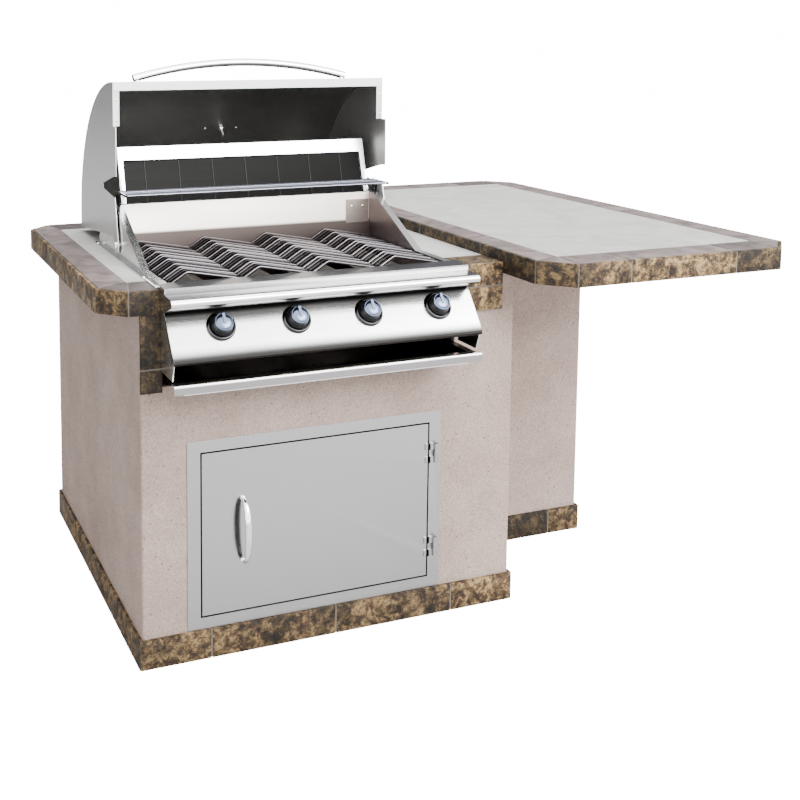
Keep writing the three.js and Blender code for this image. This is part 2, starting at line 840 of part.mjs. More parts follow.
// A closed tube through rings of points, one ring per station.
function loft(stations, sides) {
  const rings = stations.map(({ center, u, v }) =>
    Array.from({ length: sides }, (_, i) => {
      const angle = (2 * Math.PI * i) / sides;
      const across = u.clone().multiplyScalar(Math.cos(angle));
      return center.clone().add(across).add(v.clone().multiplyScalar(Math.sin(angle)));
    }),
  );
  const points = [...rings.flat(), stations[0].center, stations[stations.length - 1].center];
  const first = rings.length * sides;
  const faces = [];
  for (let i = 0; i < sides; i++) {
    const next = (i + 1) % sides;
    for (let ringIndex = 0; ringIndex < rings.length - 1; ringIndex++) {
      const a = ringIndex * sides;
      faces.push(a + i, a + next, a + sides + next, a + i, a + sides + next, a + sides + i);
    }
    const last = (rings.length - 1) * sides;
    faces.push(first, next, i, first + 1, last + i, last + next);
  }
  const geometry = new THREE.BufferGeometry();
  const flat = points.flatMap((point) => point.toArray());
  geometry.setAttribute("position", new THREE.Float32BufferAttribute(flat, 3));
  geometry.setIndex(faces);
  return solidOf(geometry);
}

// A round wire bent along a line in (x, z) at one depth, mitred at its bends.
function bentWire(line, y, radius, sides) {
  const heading = (a, b) => new THREE.Vector3(b[0] - a[0], 0, b[1] - a[1]).normalize();
  const stations = line.map((point, i) => {
    const after = i < line.length - 1 ? heading(point, line[i + 1]) : heading(line[i - 1], point);
    const before = i > 0 ? heading(line[i - 1], point) : after;
    const travel = before.clone().add(after).normalize();
    const reach = radius / travel.dot(after);
    return {
      center: new THREE.Vector3(point[0], y, point[1]),
      u: new THREE.Vector3(0, radius, 0),
      v: new THREE.Vector3(-travel.z, 0, travel.x).multiplyScalar(reach),
    };
  });
  return loft(stations, sides);
}

function doorHandle() {
  const middle = doorBottom + doorHeight / 2;
  const x = doorLeft + doorHandleInset;
  const steps = 2 * cornerSteps;
  const half = doorHandleHeight / 2;
  const face = doorFace - seatGap;
  const stations = Array.from({ length: steps + 1 }, (_, i) => {
    const turn = -Math.PI / 2 + (Math.PI * i) / steps;
    const swell = endWidthShare + (1 - endWidthShare) * Math.cos(turn);
    const reach = doorHandleReach * Math.cos(turn);
    const out = face - doorHandleThickness / 2 - reach * (1 - seatGap / doorHandleReach);
    return {
      center: new THREE.Vector3(x, out, middle + (half - doorHandleThickness) * Math.sin(turn)),
      u: new THREE.Vector3((doorHandleWidth / 2) * swell, 0, 0),
      v: new THREE.Vector3(0, Math.cos(turn), -Math.sin(turn)).multiplyScalar(
        doorHandleThickness / 2,
      ),
    };
  });
  const bow = loft(stations, smallSides);
  const feet = [-1, 1].map((side) => {
    const level = middle + side * (half - doorHandleThickness);
    const start = [x, face, level];
    return rod(start, [x, face - doorHandleThickness, level], doorHandleThickness / 2, smallSides);
  });
  const clip = box(
    [x - doorHandleWidth, x + doorHandleWidth],
    [face - doorHandleReach - 2 * doorHandleThickness, face],
    around(middle, 2 * doorHandleHeight),
  );
  piece("door_handle", joined([bow, ...feet]).intersect(clip), "polished");
}

function doorCatch() {
  const x = [doorLeft - doorGap + seatGap, doorLeft - doorGap + catchWidth];
  const back = doorFace + doorDepth + doorGap;
  const y = [back, back + catchDepth];
  piece("door_catch", box(x, y, around(doorBottom + doorHeight / 2, catchHeight)), "dark");
}

// Firebox: double side shields that rise to the rear, an open cooking chamber, a sloped tail,
// a flange that rests on the counter, ledges, and the two studs that the hood turns on.
const shieldTop = deckTop - sheet - seatGap;
const peakTop = counterHeight + shieldRise;
const chamberBack = fireboxFront + sheet + cookDepth;
const ridgeBack = chamberBack + sheet + baffleFoot;
const grateSeat = counterHeight - grateSeatDrop;
const plateSeat = counterHeight - plateLevelDrop;
const burnerLevel = counterHeight - burnerLevelDrop;
const pivotZ = counterHeight + pivotRise;
const knobSpacing = grillWidth * knobPitchShare;
const gratePitch = (2 * (cookHalf - grateMargin)) / grateCount;
const knobPlaces = Array.from({ length: knobCount }, (_, i) => {
  return grillCenter + knobOffset + (i - (knobCount - 1) / 2) * knobSpacing;
});

function shieldOutline(inset, drop) {
  return [
    [fireboxFront + inset, fireboxBottom - drop],
    [fireboxBack - inset, fireboxBottom - drop],
    [fireboxBack - inset, counterHeight + tailRise - inset],
    [ridgeBack, peakTop - inset],
    [rampEnd, peakTop - inset],
    [rampStart, shieldTop - inset],
    [fireboxFront + inset, shieldTop - inset],
  ];
}

function firebox() {
  const x = [grillCenter - fireboxHalf, grillCenter + fireboxHalf];
  const inside = [grillCenter - cookHalf, grillCenter + cookHalf];
  const chamber = box(
    inside,
    [fireboxFront + sheet, chamberBack],
    [fireboxBottom + sheet, peakTop + overrun],
  );
  const cavity = shieldOutline(sheet, overrun);
  const leftCavity = prism("x", cavity, x[0] + sheet, inside[0] - sheet);
  const rightCavity = prism("x", cavity, inside[1] + sheet, x[1] - sheet);
  const behind = box(
    [inside[0] - overrun, inside[1] + overrun],
    [chamberBack + sheet, fireboxBack],
    [fireboxBottom - 2 * overrun, peakTop],
  );
  const tail = prism("x", cavity, ...inside).intersect(behind);
  const grease = box(
    [inside[0] + greaseMargin, inside[1] - greaseMargin],
    around((fireboxFront + chamberBack) / 2, greaseDepth),
    [fireboxBottom - overrun, fireboxBottom + sheet + overrun],
  );
  const shell = without(prism("x", shieldOutline(0, 0), ...x), [
    chamber,
    leftCavity,
    rightCavity,
    tail,
    grease,
  ]);
  const ledgeRun = [inside[0] - sheet / 2, inside[1] + sheet / 2];
  const ledges = [grateSeat, plateSeat].flatMap((level) => {
    const rise = [level - seatGap - sheet, level - seatGap];
    return [
      box(ledgeRun, [fireboxFront + sheet / 2, fireboxFront + sheet + ledgeWidth], rise),
      box(ledgeRun, [chamberBack - ledgeWidth, chamberBack + sheet / 2], rise),
    ];
  });
  const burnerSeat = burnerLevel - burnerHeight / 2 - seatGap;
  const burnerLedge = box(
    ledgeRun,
    [chamberBack - 2 * ledgeWidth, chamberBack + sheet / 2],
    [burnerSeat - sheet, burnerSeat],
  );
  const flangeRise = [counterHeight + seatGap, counterHeight + seatGap + sheet];
  const flangeBack = fireboxBack + flangeWidth;
  const flangeFront = fireboxFront + sheet;
  const flangePlan = box([x[0] - flangeWidth, x[1] + flangeWidth], [flangeFront, flangeBack], flangeRise);
  const flange = flangePlan.subtract(
    box(
      [x[0] + sheet / 2, x[1] - sheet / 2],
      [flangeFront - overrun, fireboxBack - sheet / 2],
      [counterHeight - overrun, counterHeight + overrun],
    ),
  );
  const studs = [-1, 1].flatMap((side) => {
    const place = (out) => [grillCenter + side * out, pivotBack, pivotZ];
    const inner = fireboxHalf - sheet;
    const headStart = hoodHalf + seatGap;
    const headEnd = headStart + pivotHeadHeight;
    return [
      rod(place(inner), place(headEnd), pivotPinRadius, roundSides),
      rod(place(headStart), place(headEnd), pivotHeadRadius, roundSides),
    ];
  });
  const mouths = knobPlaces.map((place) =>
    rod(
      [place, fireboxFront - overrun, burnerLevel],
      [place, fireboxFront + sheet + overrun, burnerLevel],
      venturiRadius + runGap,
      roundSides,
    ),
  );
  const whole = joined([shell, ...ledges, burnerLedge, flange, ...studs]);
  piece("firebox", without(whole, mouths), "polished");
}

// The leaning rear baffle: a panel set back in a frame with a broad top strip and narrow posts.
function rearBaffle() {
  const x = [grillCenter - cookHalf + sheet, grillCenter + cookHalf - sheet];
  const foot = peakTop + seatGap;
  const start = chamberBack + sheet;
  const leanShare = baffleSetback / baffleHeight;
  const at = (height, back = 0) => [start + leanShare * height + back, foot + height];
  const strip = baffleHeight - baffleFrameTop;
  const panel = folded(
    [
      at(baffleHeight, 2 * baffleFrameDepth),
      at(baffleHeight),
      at(strip),
      at(strip, baffleFrameDepth),
      at(0, baffleFrameDepth),
      [start + baffleFoot + baffleFrameDepth - sheet, foot],
    ],
    sheet,
  );
  const post = [at(sheet), at(sheet, baffleFrameDepth), at(strip, baffleFrameDepth), at(strip)];
  const posts = [
    prism("x", post, x[0], x[0] + baffleFrameSide),
    prism("x", post, x[1] - baffleFrameSide, x[1]),
  ];
  piece("rear_baffle", joined([prism("x", panel, ...x), ...posts]), "polished");
}

// Fascia profile in (y, z), from the rear of the deck round the nose to the panel's rolled edge.
const panelTop = [-panelTopReach, counterHeight - panelTopDrop];
const panelLength = Math.hypot(panelRun, panelFall);
const panelTilt = Math.atan2(panelFall, panelRun);
const panelHeading = [-panelRun / panelLength, -panelFall / panelLength];
const panelNormal = [-panelFall / panelLength, panelRun / panelLength];
const deckBack = fireboxFront + 3 * sheet;

function fasciaLine() {
  const noseCenter = [-noseReach, deckTop - noseDrop - noseRadius];
  const end = [panelTop[0] - panelRun, panelTop[1] - panelFall];
  const rollCenter = [end[0] - panelNormal[0] * panelRoll, end[1] - panelNormal[1] * panelRoll];
  const facing = THREE.MathUtils.radToDeg(Math.atan2(panelNormal[1], panelNormal[0]));
  return [
    [deckBack, deckTop],
    [-deckFront, deckTop],
    [-deckFront, deckTop - deckStep],
    ...arc(noseCenter, noseRadius, 90, noseTurn, 2 * cornerSteps),
    panelTop,
    ...arc(rollCenter, panelRoll, facing, 270, cornerSteps),
    [rollCenter[0] + panelLip, rollCenter[1] - panelRoll],
  ];
}

const alongPanel = (down, out = 0) => [
  panelTop[0] + panelHeading[0] * down + panelNormal[0] * out,
  panelTop[1] + panelHeading[1] * down + panelNormal[1] * out,
];

// The point of a stem's axis that stands a given way out of the panel's face.
const onStem = (place, out) => [place, ...alongPanel(knobDown, out)];

function fascia() {
  const x = around(grillCenter, grillWidth);
  const line = fasciaLine();
  const skin = prism("x", folded(line, sheet), ...x);
  const wallSide = -counterFrontOverhang - seatGap - cheekGap;
  const cheekBottom = counterHeight - cheekDrop;
  const core = folded(line, sheet / 2).slice(line.length).reverse();
  const cheek = [
    ...core.slice(0, -1),
    [-cheekReach, cheekBottom],
    [wallSide, cheekBottom],
    [wallSide, deckTop - deckSkirt],
    [deckBack - sheet, deckTop - deckSkirt],
  ];
  const cheeks = [
    prism("x", cheek, x[0] + sheet, x[0] + 2 * sheet),
    prism("x", cheek, x[1] - 2 * sheet, x[1] - sheet),
  ];
  const holes = knobPlaces.map((place) =>
    rod(onStem(place, -overrun), onStem(place, overrun), stemHoleRadius, roundSides),
  );
  piece("control_fascia", without(joined([skin, ...cheeks]), holes), "polished");
}

function dripTray() {
  const half = fireboxHalf - sheet - 2 * seatGap;
  const pan = [grillCenter - half + trayWing, grillCenter + half - trayWing];
  const front = -trayLipReach + trayLipDepth;
  const y = [front, front + trayDepth];
  const hat = [
    [grillCenter - half, trayLevel],
    [pan[0], trayLevel],
    [pan[0], trayFloor],
    [pan[1], trayFloor],
    [pan[1], trayLevel],
    [grillCenter + half, trayLevel],
    [grillCenter + half, trayLevel + sheet],
    [grillCenter - half, trayLevel + sheet],
  ];
  const hollow = box(
    [pan[0] + sheet, pan[1] - sheet],
    [y[0] + sheet, y[1] - sheet],
    [trayFloor + sheet, trayLevel + overrun],
  );
  const lipTop = trayLevel + sheet + seatGap;
  const lipFace = -trayLipReach;
  const lip = folded(
    [
      [y[0] + sheet, lipTop],
      ...arc([lipFace + trayLipRound, lipTop - trayLipRound], trayLipRound, 90, 180, cornerSteps),
      [lipFace, lipTop - trayLipHeight],
    ],
    sheet,
  );
  const lipX = around(grillCenter, grillWidth);
  const tray = prism("y", hat, ...y).subtract(hollow);
  piece("drip_tray", tray.add(prism("x", lip, ...lipX)), "polished");
  [-1, 1].forEach((side, i) => {
    const out = grillCenter + side * fireboxHalf;
    const inner = out - side * railLedge;
    const web = out - side * sheet;
    const spans = [[out, inner].sort((a, b) => a - b), [out, web].sort((a, b) => a - b)];
    const y = [fireboxFront + sheet, fireboxFront + railDepth];
    const ledge = box(spans[0], y, [trayLevel - seatGap - sheet, trayLevel - seatGap]);
    const upright = box(spans[1], y, [trayLevel - seatGap - sheet, fireboxBottom - seatGap]);
    piece(["tray_rail_left", "tray_rail_right"][i], ledge.add(upright), "satin");
  });
}

// One cooking grate: rods that climb in a short run and fall in a long one, on two bars.
function grates() {
  const crest = counterHeight + grateRise;
  const trough = crest - waveHeight;
  const width = gratePitch - grateGap;
  const y = [fireboxFront + sheet + grateEndMargin, chamberBack - grateEndMargin];
  const first = y[0] + rodReach;
  const pitch = (y[1] - rodReach - first) / (grateRods - 1);
  for (let k = 0; k < grateCount; k++) {
    const left = grillCenter + (k - grateCount / 2) * gratePitch + grateGap / 2;
    const line = [
      [left, trough],
      [left + width * shortRunShare, crest],
      [left + width, trough],
    ];
    const rods = Array.from({ length: grateRods }, (_, i) =>
      bentWire(line, first + i * pitch, rodRadius, rodSides),
    );
    const barAt = (share, top) => {
      const place = left + width * share;
      return box(around(place, grateBarThickness), y, [grateSeat, top]);
    };
    const nearEnd = grateBarThickness / width;
    const steepTop = trough + (waveHeight * nearEnd) / shortRunShare;
    const bars = [barAt(nearEnd, steepTop), barAt(1 - nearEnd, trough)];
    piece("cooking_grate_" + (k + 1), joined([...bars, ...rods]), "polished");
  }
}

function burners() {
  knobPlaces.forEach((place, k) => {
    const mouth = fireboxFront - overrun;
    const bodyStart = mouth + venturiLength;
    const bodyEnd = bodyStart + burnerLength;
    const level = burnerLevel;
    const half = burnerWidth / 2 - burnerHeight / 2;
    const outline = [
      ...arc([place + half, level], burnerHeight / 2, -90, 90, 2 * cornerSteps),
      ...arc([place - half, level], burnerHeight / 2, 90, 270, 2 * cornerSteps),
    ];
    const tube = (from, to, radius) =>
      rod([place, from, level], [place, to, level], radius, roundSides);
    const solids = [
      prism("y", outline, bodyStart, bodyEnd),
      tube(mouth, bodyStart + venturiRadius, venturiRadius),
      tube(mouth, mouth + sheet, venturiRadius + venturiFlare),
      box(
        around(place, burnerWidth / 2),
        [bodyEnd - sheet, Math.min(bodyEnd + burnerTabLength, chamberBack - sheet)],
        [level - burnerHeight / 2, level - burnerHeight / 2 + sheet],
      ),
    ];
    const bore = tube(mouth - overrun, bodyStart, venturiRadius - venturiWall);
    piece("burner_" + (k + 1), joined(solids).subtract(bore), "satin");
  });
}

function heatPlates() {
  const y = [fireboxFront + 2 * sheet, chamberBack - sheet];
  const plateWidth = knobSpacing - plateGap;
  const half = plateWidth / 2;
  const low = plateSeat;
  knobPlaces.forEach((place, k) => {
    const roof = folded(
      [
        [place + half, low],
        [place + half - plateFoot, low],
        [place, low + plateHeight],
        [place - half + plateFoot, low],
        [place - half, low],
      ].reverse(),
      sheet,
    );
    const pitch = (y[1] - y[0]) / plateSlots;
    const slots = Array.from({ length: 2 * plateSlots }, (_, i) => {
      const middle = y[0] + pitch * (Math.floor(i / 2) + 1 / 2);
      const side = i % 2 ? 1 : -1;
      const across = around(place + (side * half) / 2, plateSlotWidth);
      return box(across, around(middle, plateSlotLength), [low - overrun, low + plateHeight]);
    });
    piece("heat_plate_" + (k + 1), without(prism("y", roof, ...y), slots), "satin");
  });
}

// Manifold: a tube with a valve body at each stem, a gas spud into each burner, two brackets.
function gasManifold() {
  const [, y, z] = onStem(0, -manifoldDepth);
  const ends = [knobPlaces[0] - manifoldOverhang, knobPlaces[knobCount - 1] + manifoldOverhang];
  const tube = rod([ends[0], y, z], [ends[1], y, z], manifoldRadius, roundSides);
  const valves = knobPlaces.flatMap((place) => [
    rod(
      onStem(place, -valveFront - valveLength),
      onStem(place, -valveFront),
      valveRadius,
      roundSides,
    ),
    rod(
      [place, y, burnerLevel],
      [place, fireboxFront + spudReach - overrun, burnerLevel],
      spudRadius,
      smallSides,
    ),
  ]);
  const bores = knobPlaces.map((place) =>
    rod(
      onStem(place, -stemInside - stemTravel),
      onStem(place, 0),
      stemRadius + seatGap,
      roundSides,
    ),
  );
  const brackets = ends.map((place, i) => {
    const middle = place + (i === 0 ? manifoldRadius : -manifoldRadius);
    const across = around(middle, manifoldRadius);
    return box(across, [y, fireboxFront - seatGap], around(z, manifoldRadius));
  });
  piece("gas_manifold", without(joined([tube, ...valves, ...brackets]), bores), "brass");
}

function knobs() {
  knobPlaces.forEach((place, k) => {
    const spot = new THREE.Group();
    spot.position.set(...onStem(place, 0));
    spot.rotation.x = panelTilt;
    island.add(spot);
    const bezel = turned(
      [
        [bezelRadius - bezelWidth, seatGap],
        [bezelRadius, seatGap],
        [bezelRadius, bezelHeight / 2],
        [bezelRadius - bezelWidth / 3, bezelHeight],
        [bezelRadius - bezelWidth, bezelHeight],
        [bezelRadius - bezelWidth, seatGap],
      ],
      fineSides,
    );
    piece("knob_bezel_" + (k + 1), bezel, "chrome", spot);
    const stem = rod([0, 0, -stemInside], [0, 0, stemOutside], stemRadius, roundSides);
    piece("valve_stem_" + (k + 1), stem, "brass", spot);
    const top = knobLift + knobHeight;
    const dome = turned(
      [
        [0, knobLift],
        [knobRadius, knobLift],
        [knobRadius, knobLift + knobSkirt],
        [knobRadius - knobWaist, knobLift + knobSkirt + knobWaist],
        [knobFaceRadius + knobWaist / 2, top - knobWaist],
        [knobFaceRadius, top - knobWaist / 2],
        [(knobFaceRadius * 2) / 3, top + knobDome / 3],
        [0, top + knobDome / 2],
      ],
      fineSides,
    );
    const pointer = box(
      around(0, pointerWidth),
      [-pointerLength / 4, (pointerLength * 3) / 4],
      [top - knobDome, top + knobDome],
    );
    const bore = rod([0, 0, 0], [0, 0, stemOutside + 2 * seatGap], stemRadius + seatGap, roundSides);
    piece("knob_" + (k + 1), joined([dome, pointer]).subtract(bore), "dark", spot);
  });
}

function warmingRack() {
  const ends = [-1, 1].map((side) => grillCenter + side * (fireboxHalf - doubleWall / 2));
  const level = peakTop + rackRise;
  const back = chamberBack - rackEndRadius;
  const front = back - rackDepth;
  const wires = Array.from({ length: rackBays + 1 }, (_, i) => {
    const y = front + (rackDepth * i) / rackBays;
    return rod([ends[0], y, level], [ends[1], y, level], rackWireRadius, rackWireSides);
  });
  const frames = ends.flatMap((x) => [
    rod([x, front - rackEndRadius, level], [x, back + rackEndRadius, level], rackEndRadius, smallSides),
    rod([x, back, peakTop + seatGap], [x, back, level], rackEndRadius, smallSides),
    rod([x, back - rackDepth / 4, level], [x, rampEnd + rackEndRadius, peakTop + seatGap], rackEndRadius, smallSides),
  ]);
  const floor = box(
    [ends[0] - 2 * rackEndRadius, ends[1] + 2 * rackEndRadius],
    [front - 2 * rackEndRadius, back + 2 * rackEndRadius],
    [peakTop + seatGap, level + 2 * rackEndRadius],
  );
  piece("warming_rack", joined([...frames, ...wires]).intersect(floor), "chrome");
}

// Hood: a rolled skin between two side plates, with a lip at the mouth and a fold at the tail.
const hoodCenter = [hoodCenterBack, counterHeight + hoodCenterRise];
const hoodTop = hoodCenter[1] + hoodRadius;
const [hoodTail] = arc(hoodCenter, hoodRadius, hoodTailAngle, hoodTailAngle, 1);

function hoodCorner() {
  return [pivotBack + 1.5 * pivotEarRadius, hoodCenter[1]];
}

function hoodSkin() {
  const corner = hoodCorner();
  const back = Math.hypot(corner[0] - hoodTail[0], corner[1] - hoodTail[1]);
  const share = hoodFold / back;
  const foldEnd = hoodTail.map((value, i) => value + (corner[i] - value) * share);
  const line = [
    foldEnd,
    ...arc(hoodCenter, hoodRadius, hoodTailAngle, 90, hoodArcSteps),
    [hoodCenterBack, hoodTop - hoodLip],
  ];
  const half = hoodHalf - sheet - seatGap;
  const shell = prism("x", folded(line, sheet), grillCenter - half, grillCenter + half);
  const gaugeX = grillCenter + gaugeOffset;
  const holeEnds = [-overrun, overrun].map((height) => onHood(gaugeAngle, height, gaugeX));
  const hole = rod(...holeEnds, gaugeStemRadius + runGap, roundSides);
  piece("hood_skin", shell.subtract(hole), "polished");
}

// A point on the hood's outer surface at an angle, or above it by a height.
function onHood(angle, height, x = grillCenter) {
  const turn = THREE.MathUtils.degToRad(angle);
  const reach = hoodRadius + height;
  return [x, hoodCenter[0] + reach * Math.cos(turn), hoodCenter[1] + reach * Math.sin(turn)];
}

function hoodSides() {
  const front = hoodCenterBack;
  const step = hoodTop - mouthStepDrop;
  const notchTop = hoodTop - notchTopDrop;
  const notchBottom = hoodTop - notchBottomDrop;
  const notchTip = (notchTop + notchBottom) / 2 - notchTipHeight;
  const ear = [pivotBack, pivotZ];
  const outline = [
    ...arc(hoodCenter, hoodRadius, hoodTailAngle, 90, hoodArcSteps),
    [front, step],
    [front - mouthStep, step],
    [front - mouthStep, notchTop],
    [front, notchTop - sheet],
    [front + notchReach, notchTip + notchTipHeight / 2],
    [front + notchReach - notchTipHeight, notchTip - notchTipHeight / 2],
    [front - pivotEarRadius / 2, notchBottom],
    ...arc(ear, pivotEarRadius, 180, 360, 2 * cornerSteps),
    hoodCorner(),
  ];
  ["hood_side_left", "hood_side_right"].forEach((name, i) => {
    const side = i === 0 ? -1 : 1;
    const out = grillCenter + side * hoodHalf;
    const inner = out - side * sheet;
    const turnedIn = out - side * (sheet + mouthFlange);
    const plate = prism("x", outline, Math.min(out, inner), Math.max(out, inner));
    const flange = box(
      [Math.min(out, turnedIn), Math.max(out, turnedIn)],
      [front, front + sheet],
      [step, hoodTop - hoodLip - seatGap],
    );
    const hole = rod(
      [inner - side * overrun, ...ear],
      [out + side * overrun, ...ear],
      pivotPinRadius + runGap,
      roundSides,
    );
    piece(name, plate.add(flange).subtract(hole), "satin");
  });
}

function hoodHandle() {
  const [, y, z] = onHood(handleAngle, 0);
  const turn = THREE.MathUtils.degToRad(handleAngle);
  const out = new THREE.Vector3(0, Math.cos(turn), Math.sin(turn));
  const along = new THREE.Vector3(0, -Math.sin(turn), Math.cos(turn));
  const steps = 4 * cornerSteps;
  const handleHalfSpan = hoodHalf - handleInset;
  const base = new THREE.Vector3(grillCenter, y, z);
  const stations = Array.from({ length: steps + 1 }, (_, i) => {
    const share = (2 * i) / steps - 1;
    const height = handleStandoff + handleRise * (1 - share * share);
    const slope = (-2 * handleRise * share) / handleHalfSpan;
    const normal = out.clone().sub(new THREE.Vector3(slope, 0, 0)).normalize();
    return {
      center: base
        .clone()
        .add(new THREE.Vector3(share * handleHalfSpan, 0, 0))
        .add(out.clone().multiplyScalar(height)),
      u: normal.multiplyScalar(handleThickness / 2),
      v: along.clone().multiplyScalar(handleWidth / 2),
    };
  });
  const bow = loft(stations, smallSides);
  const bosses = [-1, 1].map((side) => {
    const x = grillCenter + side * (handleHalfSpan - handleWidth / 2);
    const start = onHood(handleAngle, seatGap, x);
    const end = onHood(handleAngle, handleStandoff + handleThickness / 2, x);
    return rod(start, end, handleBossRadius, roundSides);
  });
  piece("hood_handle", joined([bow, ...bosses]), "polished");
}

function hoodGauge() {
  const spot = new THREE.Group();
  spot.position.set(...onHood(gaugeAngle, 0, grillCenter + gaugeOffset));
  spot.rotation.x = THREE.MathUtils.degToRad(gaugeAngle - 90);
  island.add(spot);
  const dial = turned(
    [
      [0, 2 * seatGap],
      [gaugeRadius, 2 * seatGap],
      [gaugeRadius, gaugeHeight - sheet],
      [gaugeRadius - sheet, gaugeHeight],
      [gaugeRadius - 2 * sheet, gaugeHeight],
      [gaugeRadius - 2 * sheet, gaugeHeight - sheet],
      [0, gaugeHeight - sheet],
    ],
    fineSides,
  );
  const stem = rod([0, 0, -gaugeStemLength], [0, 0, sheet], gaugeStemRadius, roundSides);
  const nutTop = -sheet - 2 * seatGap;
  const nut = rod([0, 0, nutTop - gaugeNutHeight], [0, 0, nutTop], gaugeNutRadius, 6);
  piece("hood_thermometer", joined([dial, stem, nut]), "chrome", spot);
}

walls();
pedestalShell();
frames();
baseTiles();
cookingCounter();
surroundTiles();
barTop();
doorFrame();
doorPanel();
doorHandle();
doorCatch();
firebox();
rearBaffle();
fascia();
dripTray();
grates();
burners();
heatPlates();
gasManifold();
knobs();
warmingRack();
hoodSkin();
hoodSides();
hoodHandle();
hoodGauge();

// The origin is the middle of the footprint, on the ground.
island.updateMatrixWorld(true);
const bounds = new THREE.Box3().setFromObject(island);
const middle = bounds.getCenter(new THREE.Vector3());
island.position.set(-middle.x, -middle.y, -bounds.min.z);

export default island;
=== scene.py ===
# %% [markdown]
# # An outdoor kitchen island with a drop-in grill
# The CAD frame holds every part of the island in its real place and size. This scene gives each
# part the look of the real thing: stucco, mottled stone tiles, brushed and polished steel. Most
# pieces are copies of CAD nodes with rounded edges, because their shapes are right already. A piece
# is made new only where the real surface has more in it, such as single tiles with grout between.

# %% Load the frame
import json
import math
import random
import bmesh
import bpy
from mathutils import Matrix, Vector

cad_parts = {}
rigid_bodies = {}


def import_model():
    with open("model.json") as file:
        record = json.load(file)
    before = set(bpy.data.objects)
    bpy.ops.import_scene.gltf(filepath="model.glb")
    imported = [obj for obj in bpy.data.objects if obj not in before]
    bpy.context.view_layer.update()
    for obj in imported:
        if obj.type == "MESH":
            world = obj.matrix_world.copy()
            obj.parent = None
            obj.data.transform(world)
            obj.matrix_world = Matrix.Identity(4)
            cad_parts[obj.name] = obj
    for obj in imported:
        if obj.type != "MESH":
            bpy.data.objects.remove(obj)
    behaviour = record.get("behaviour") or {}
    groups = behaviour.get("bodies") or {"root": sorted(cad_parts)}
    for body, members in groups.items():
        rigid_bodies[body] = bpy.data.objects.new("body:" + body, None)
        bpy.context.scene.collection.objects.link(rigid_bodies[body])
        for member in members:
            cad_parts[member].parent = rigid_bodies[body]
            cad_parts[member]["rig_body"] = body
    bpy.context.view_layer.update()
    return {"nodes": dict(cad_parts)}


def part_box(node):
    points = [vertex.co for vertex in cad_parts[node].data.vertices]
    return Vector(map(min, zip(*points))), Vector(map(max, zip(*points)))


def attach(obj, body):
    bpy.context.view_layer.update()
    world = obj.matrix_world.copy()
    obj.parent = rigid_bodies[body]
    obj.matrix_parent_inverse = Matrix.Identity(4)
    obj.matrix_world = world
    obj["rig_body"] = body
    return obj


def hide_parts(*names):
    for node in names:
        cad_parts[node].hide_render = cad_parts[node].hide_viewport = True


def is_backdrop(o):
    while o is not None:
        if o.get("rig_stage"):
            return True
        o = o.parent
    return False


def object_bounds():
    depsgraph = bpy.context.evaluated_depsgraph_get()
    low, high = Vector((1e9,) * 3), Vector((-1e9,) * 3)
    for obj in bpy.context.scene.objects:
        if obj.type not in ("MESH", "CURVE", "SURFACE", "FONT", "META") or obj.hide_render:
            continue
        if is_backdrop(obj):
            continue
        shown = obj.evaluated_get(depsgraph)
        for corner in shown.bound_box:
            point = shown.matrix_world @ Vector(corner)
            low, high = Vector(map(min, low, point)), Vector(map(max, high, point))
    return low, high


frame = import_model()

nodes = frame["nodes"]
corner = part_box("base_tiles")[0]
dice = random.Random(11)


def at(x, y, z):
    """A place in the frame, from millimetres right, back and up of the base's front left corner."""
    return corner + Vector((x, y, z)) / 1000


def y_of(back):
    return at(0, back, 0).y


def z_of(height):
    return at(0, 0, height).z


# %% [markdown]
# ## The camera
# The camera's place came from about fifty corners in the photo. Its matrix is written as three directions:
# right, up and back. The shift puts the optical centre where the photo has it.

# %% Camera
camera_data = bpy.data.cameras.new("photo_camera")
camera_data.sensor_width = 36
camera_data.lens = 51.866
camera_data.shift_x = 0.18953
camera_data.shift_y = -0.31192
camera_data.clip_end = 100
camera = bpy.data.objects.new("photo_camera", camera_data)
bpy.context.scene.collection.objects.link(camera)
right = (0.936821, -0.349810, -0.000102)
upward = (0.036243, 0.096771, 0.994647)
back = (-0.347927, -0.931809, 0.103336)
eye = at(-672.49, -2541.21, 1527.61)
camera.matrix_world = Matrix.Translation(eye) @ Matrix((right, upward, back)).transposed().to_4x4()
bpy.context.scene.camera = camera
print("camera to island:", round(camera.location.length, 3), "m")

# %% [markdown]
# ## Node trees in few words
# Every material below is a small tree of nodes. A tree can be wired in the editor, but in a script
# it has to read like a list of what it does. So `add` makes one node, fills its inputs and joins it
# to others in one call, and the other helpers are the nodes that come up again and again.

# %% Helpers for node trees
COORD = "ShaderNodeTexCoord"
VECTOR = "ShaderNodeVectorMath"


def add(tree, kind, inputs=(), **settings):
    """One node. A value that is a socket is linked, any other is set."""
    made = tree.nodes.new(kind)
    for key, value in settings.items():
        setattr(made, key, value)
    for key, value in dict(inputs).items():
        if isinstance(value, bpy.types.NodeSocket):
            tree.links.new(value, made.inputs[key])
        else:
            made.inputs[key].default_value = value
    return made


def calc(tree, operation, *values):
    """Arithmetic on one, two or three values."""
    return add(tree, "ShaderNodeMath", dict(enumerate(values)), operation=operation).outputs[0]


def spread(tree, value, low, high, start=0.0, end=1.0, **settings):
    """A value that runs from start to end, moved to the range from low to high."""
    inputs = {0: value, 1: start, 2: end, 3: low, 4: high}
    return add(tree, "ShaderNodeMapRange", inputs, **settings).outputs[0]


def mask(tree, value, start, end, **settings):
    """0 where a value is at start, 1 where it is at end."""
    return spread(tree, value, 0.0, 1.0, start, end, **settings)


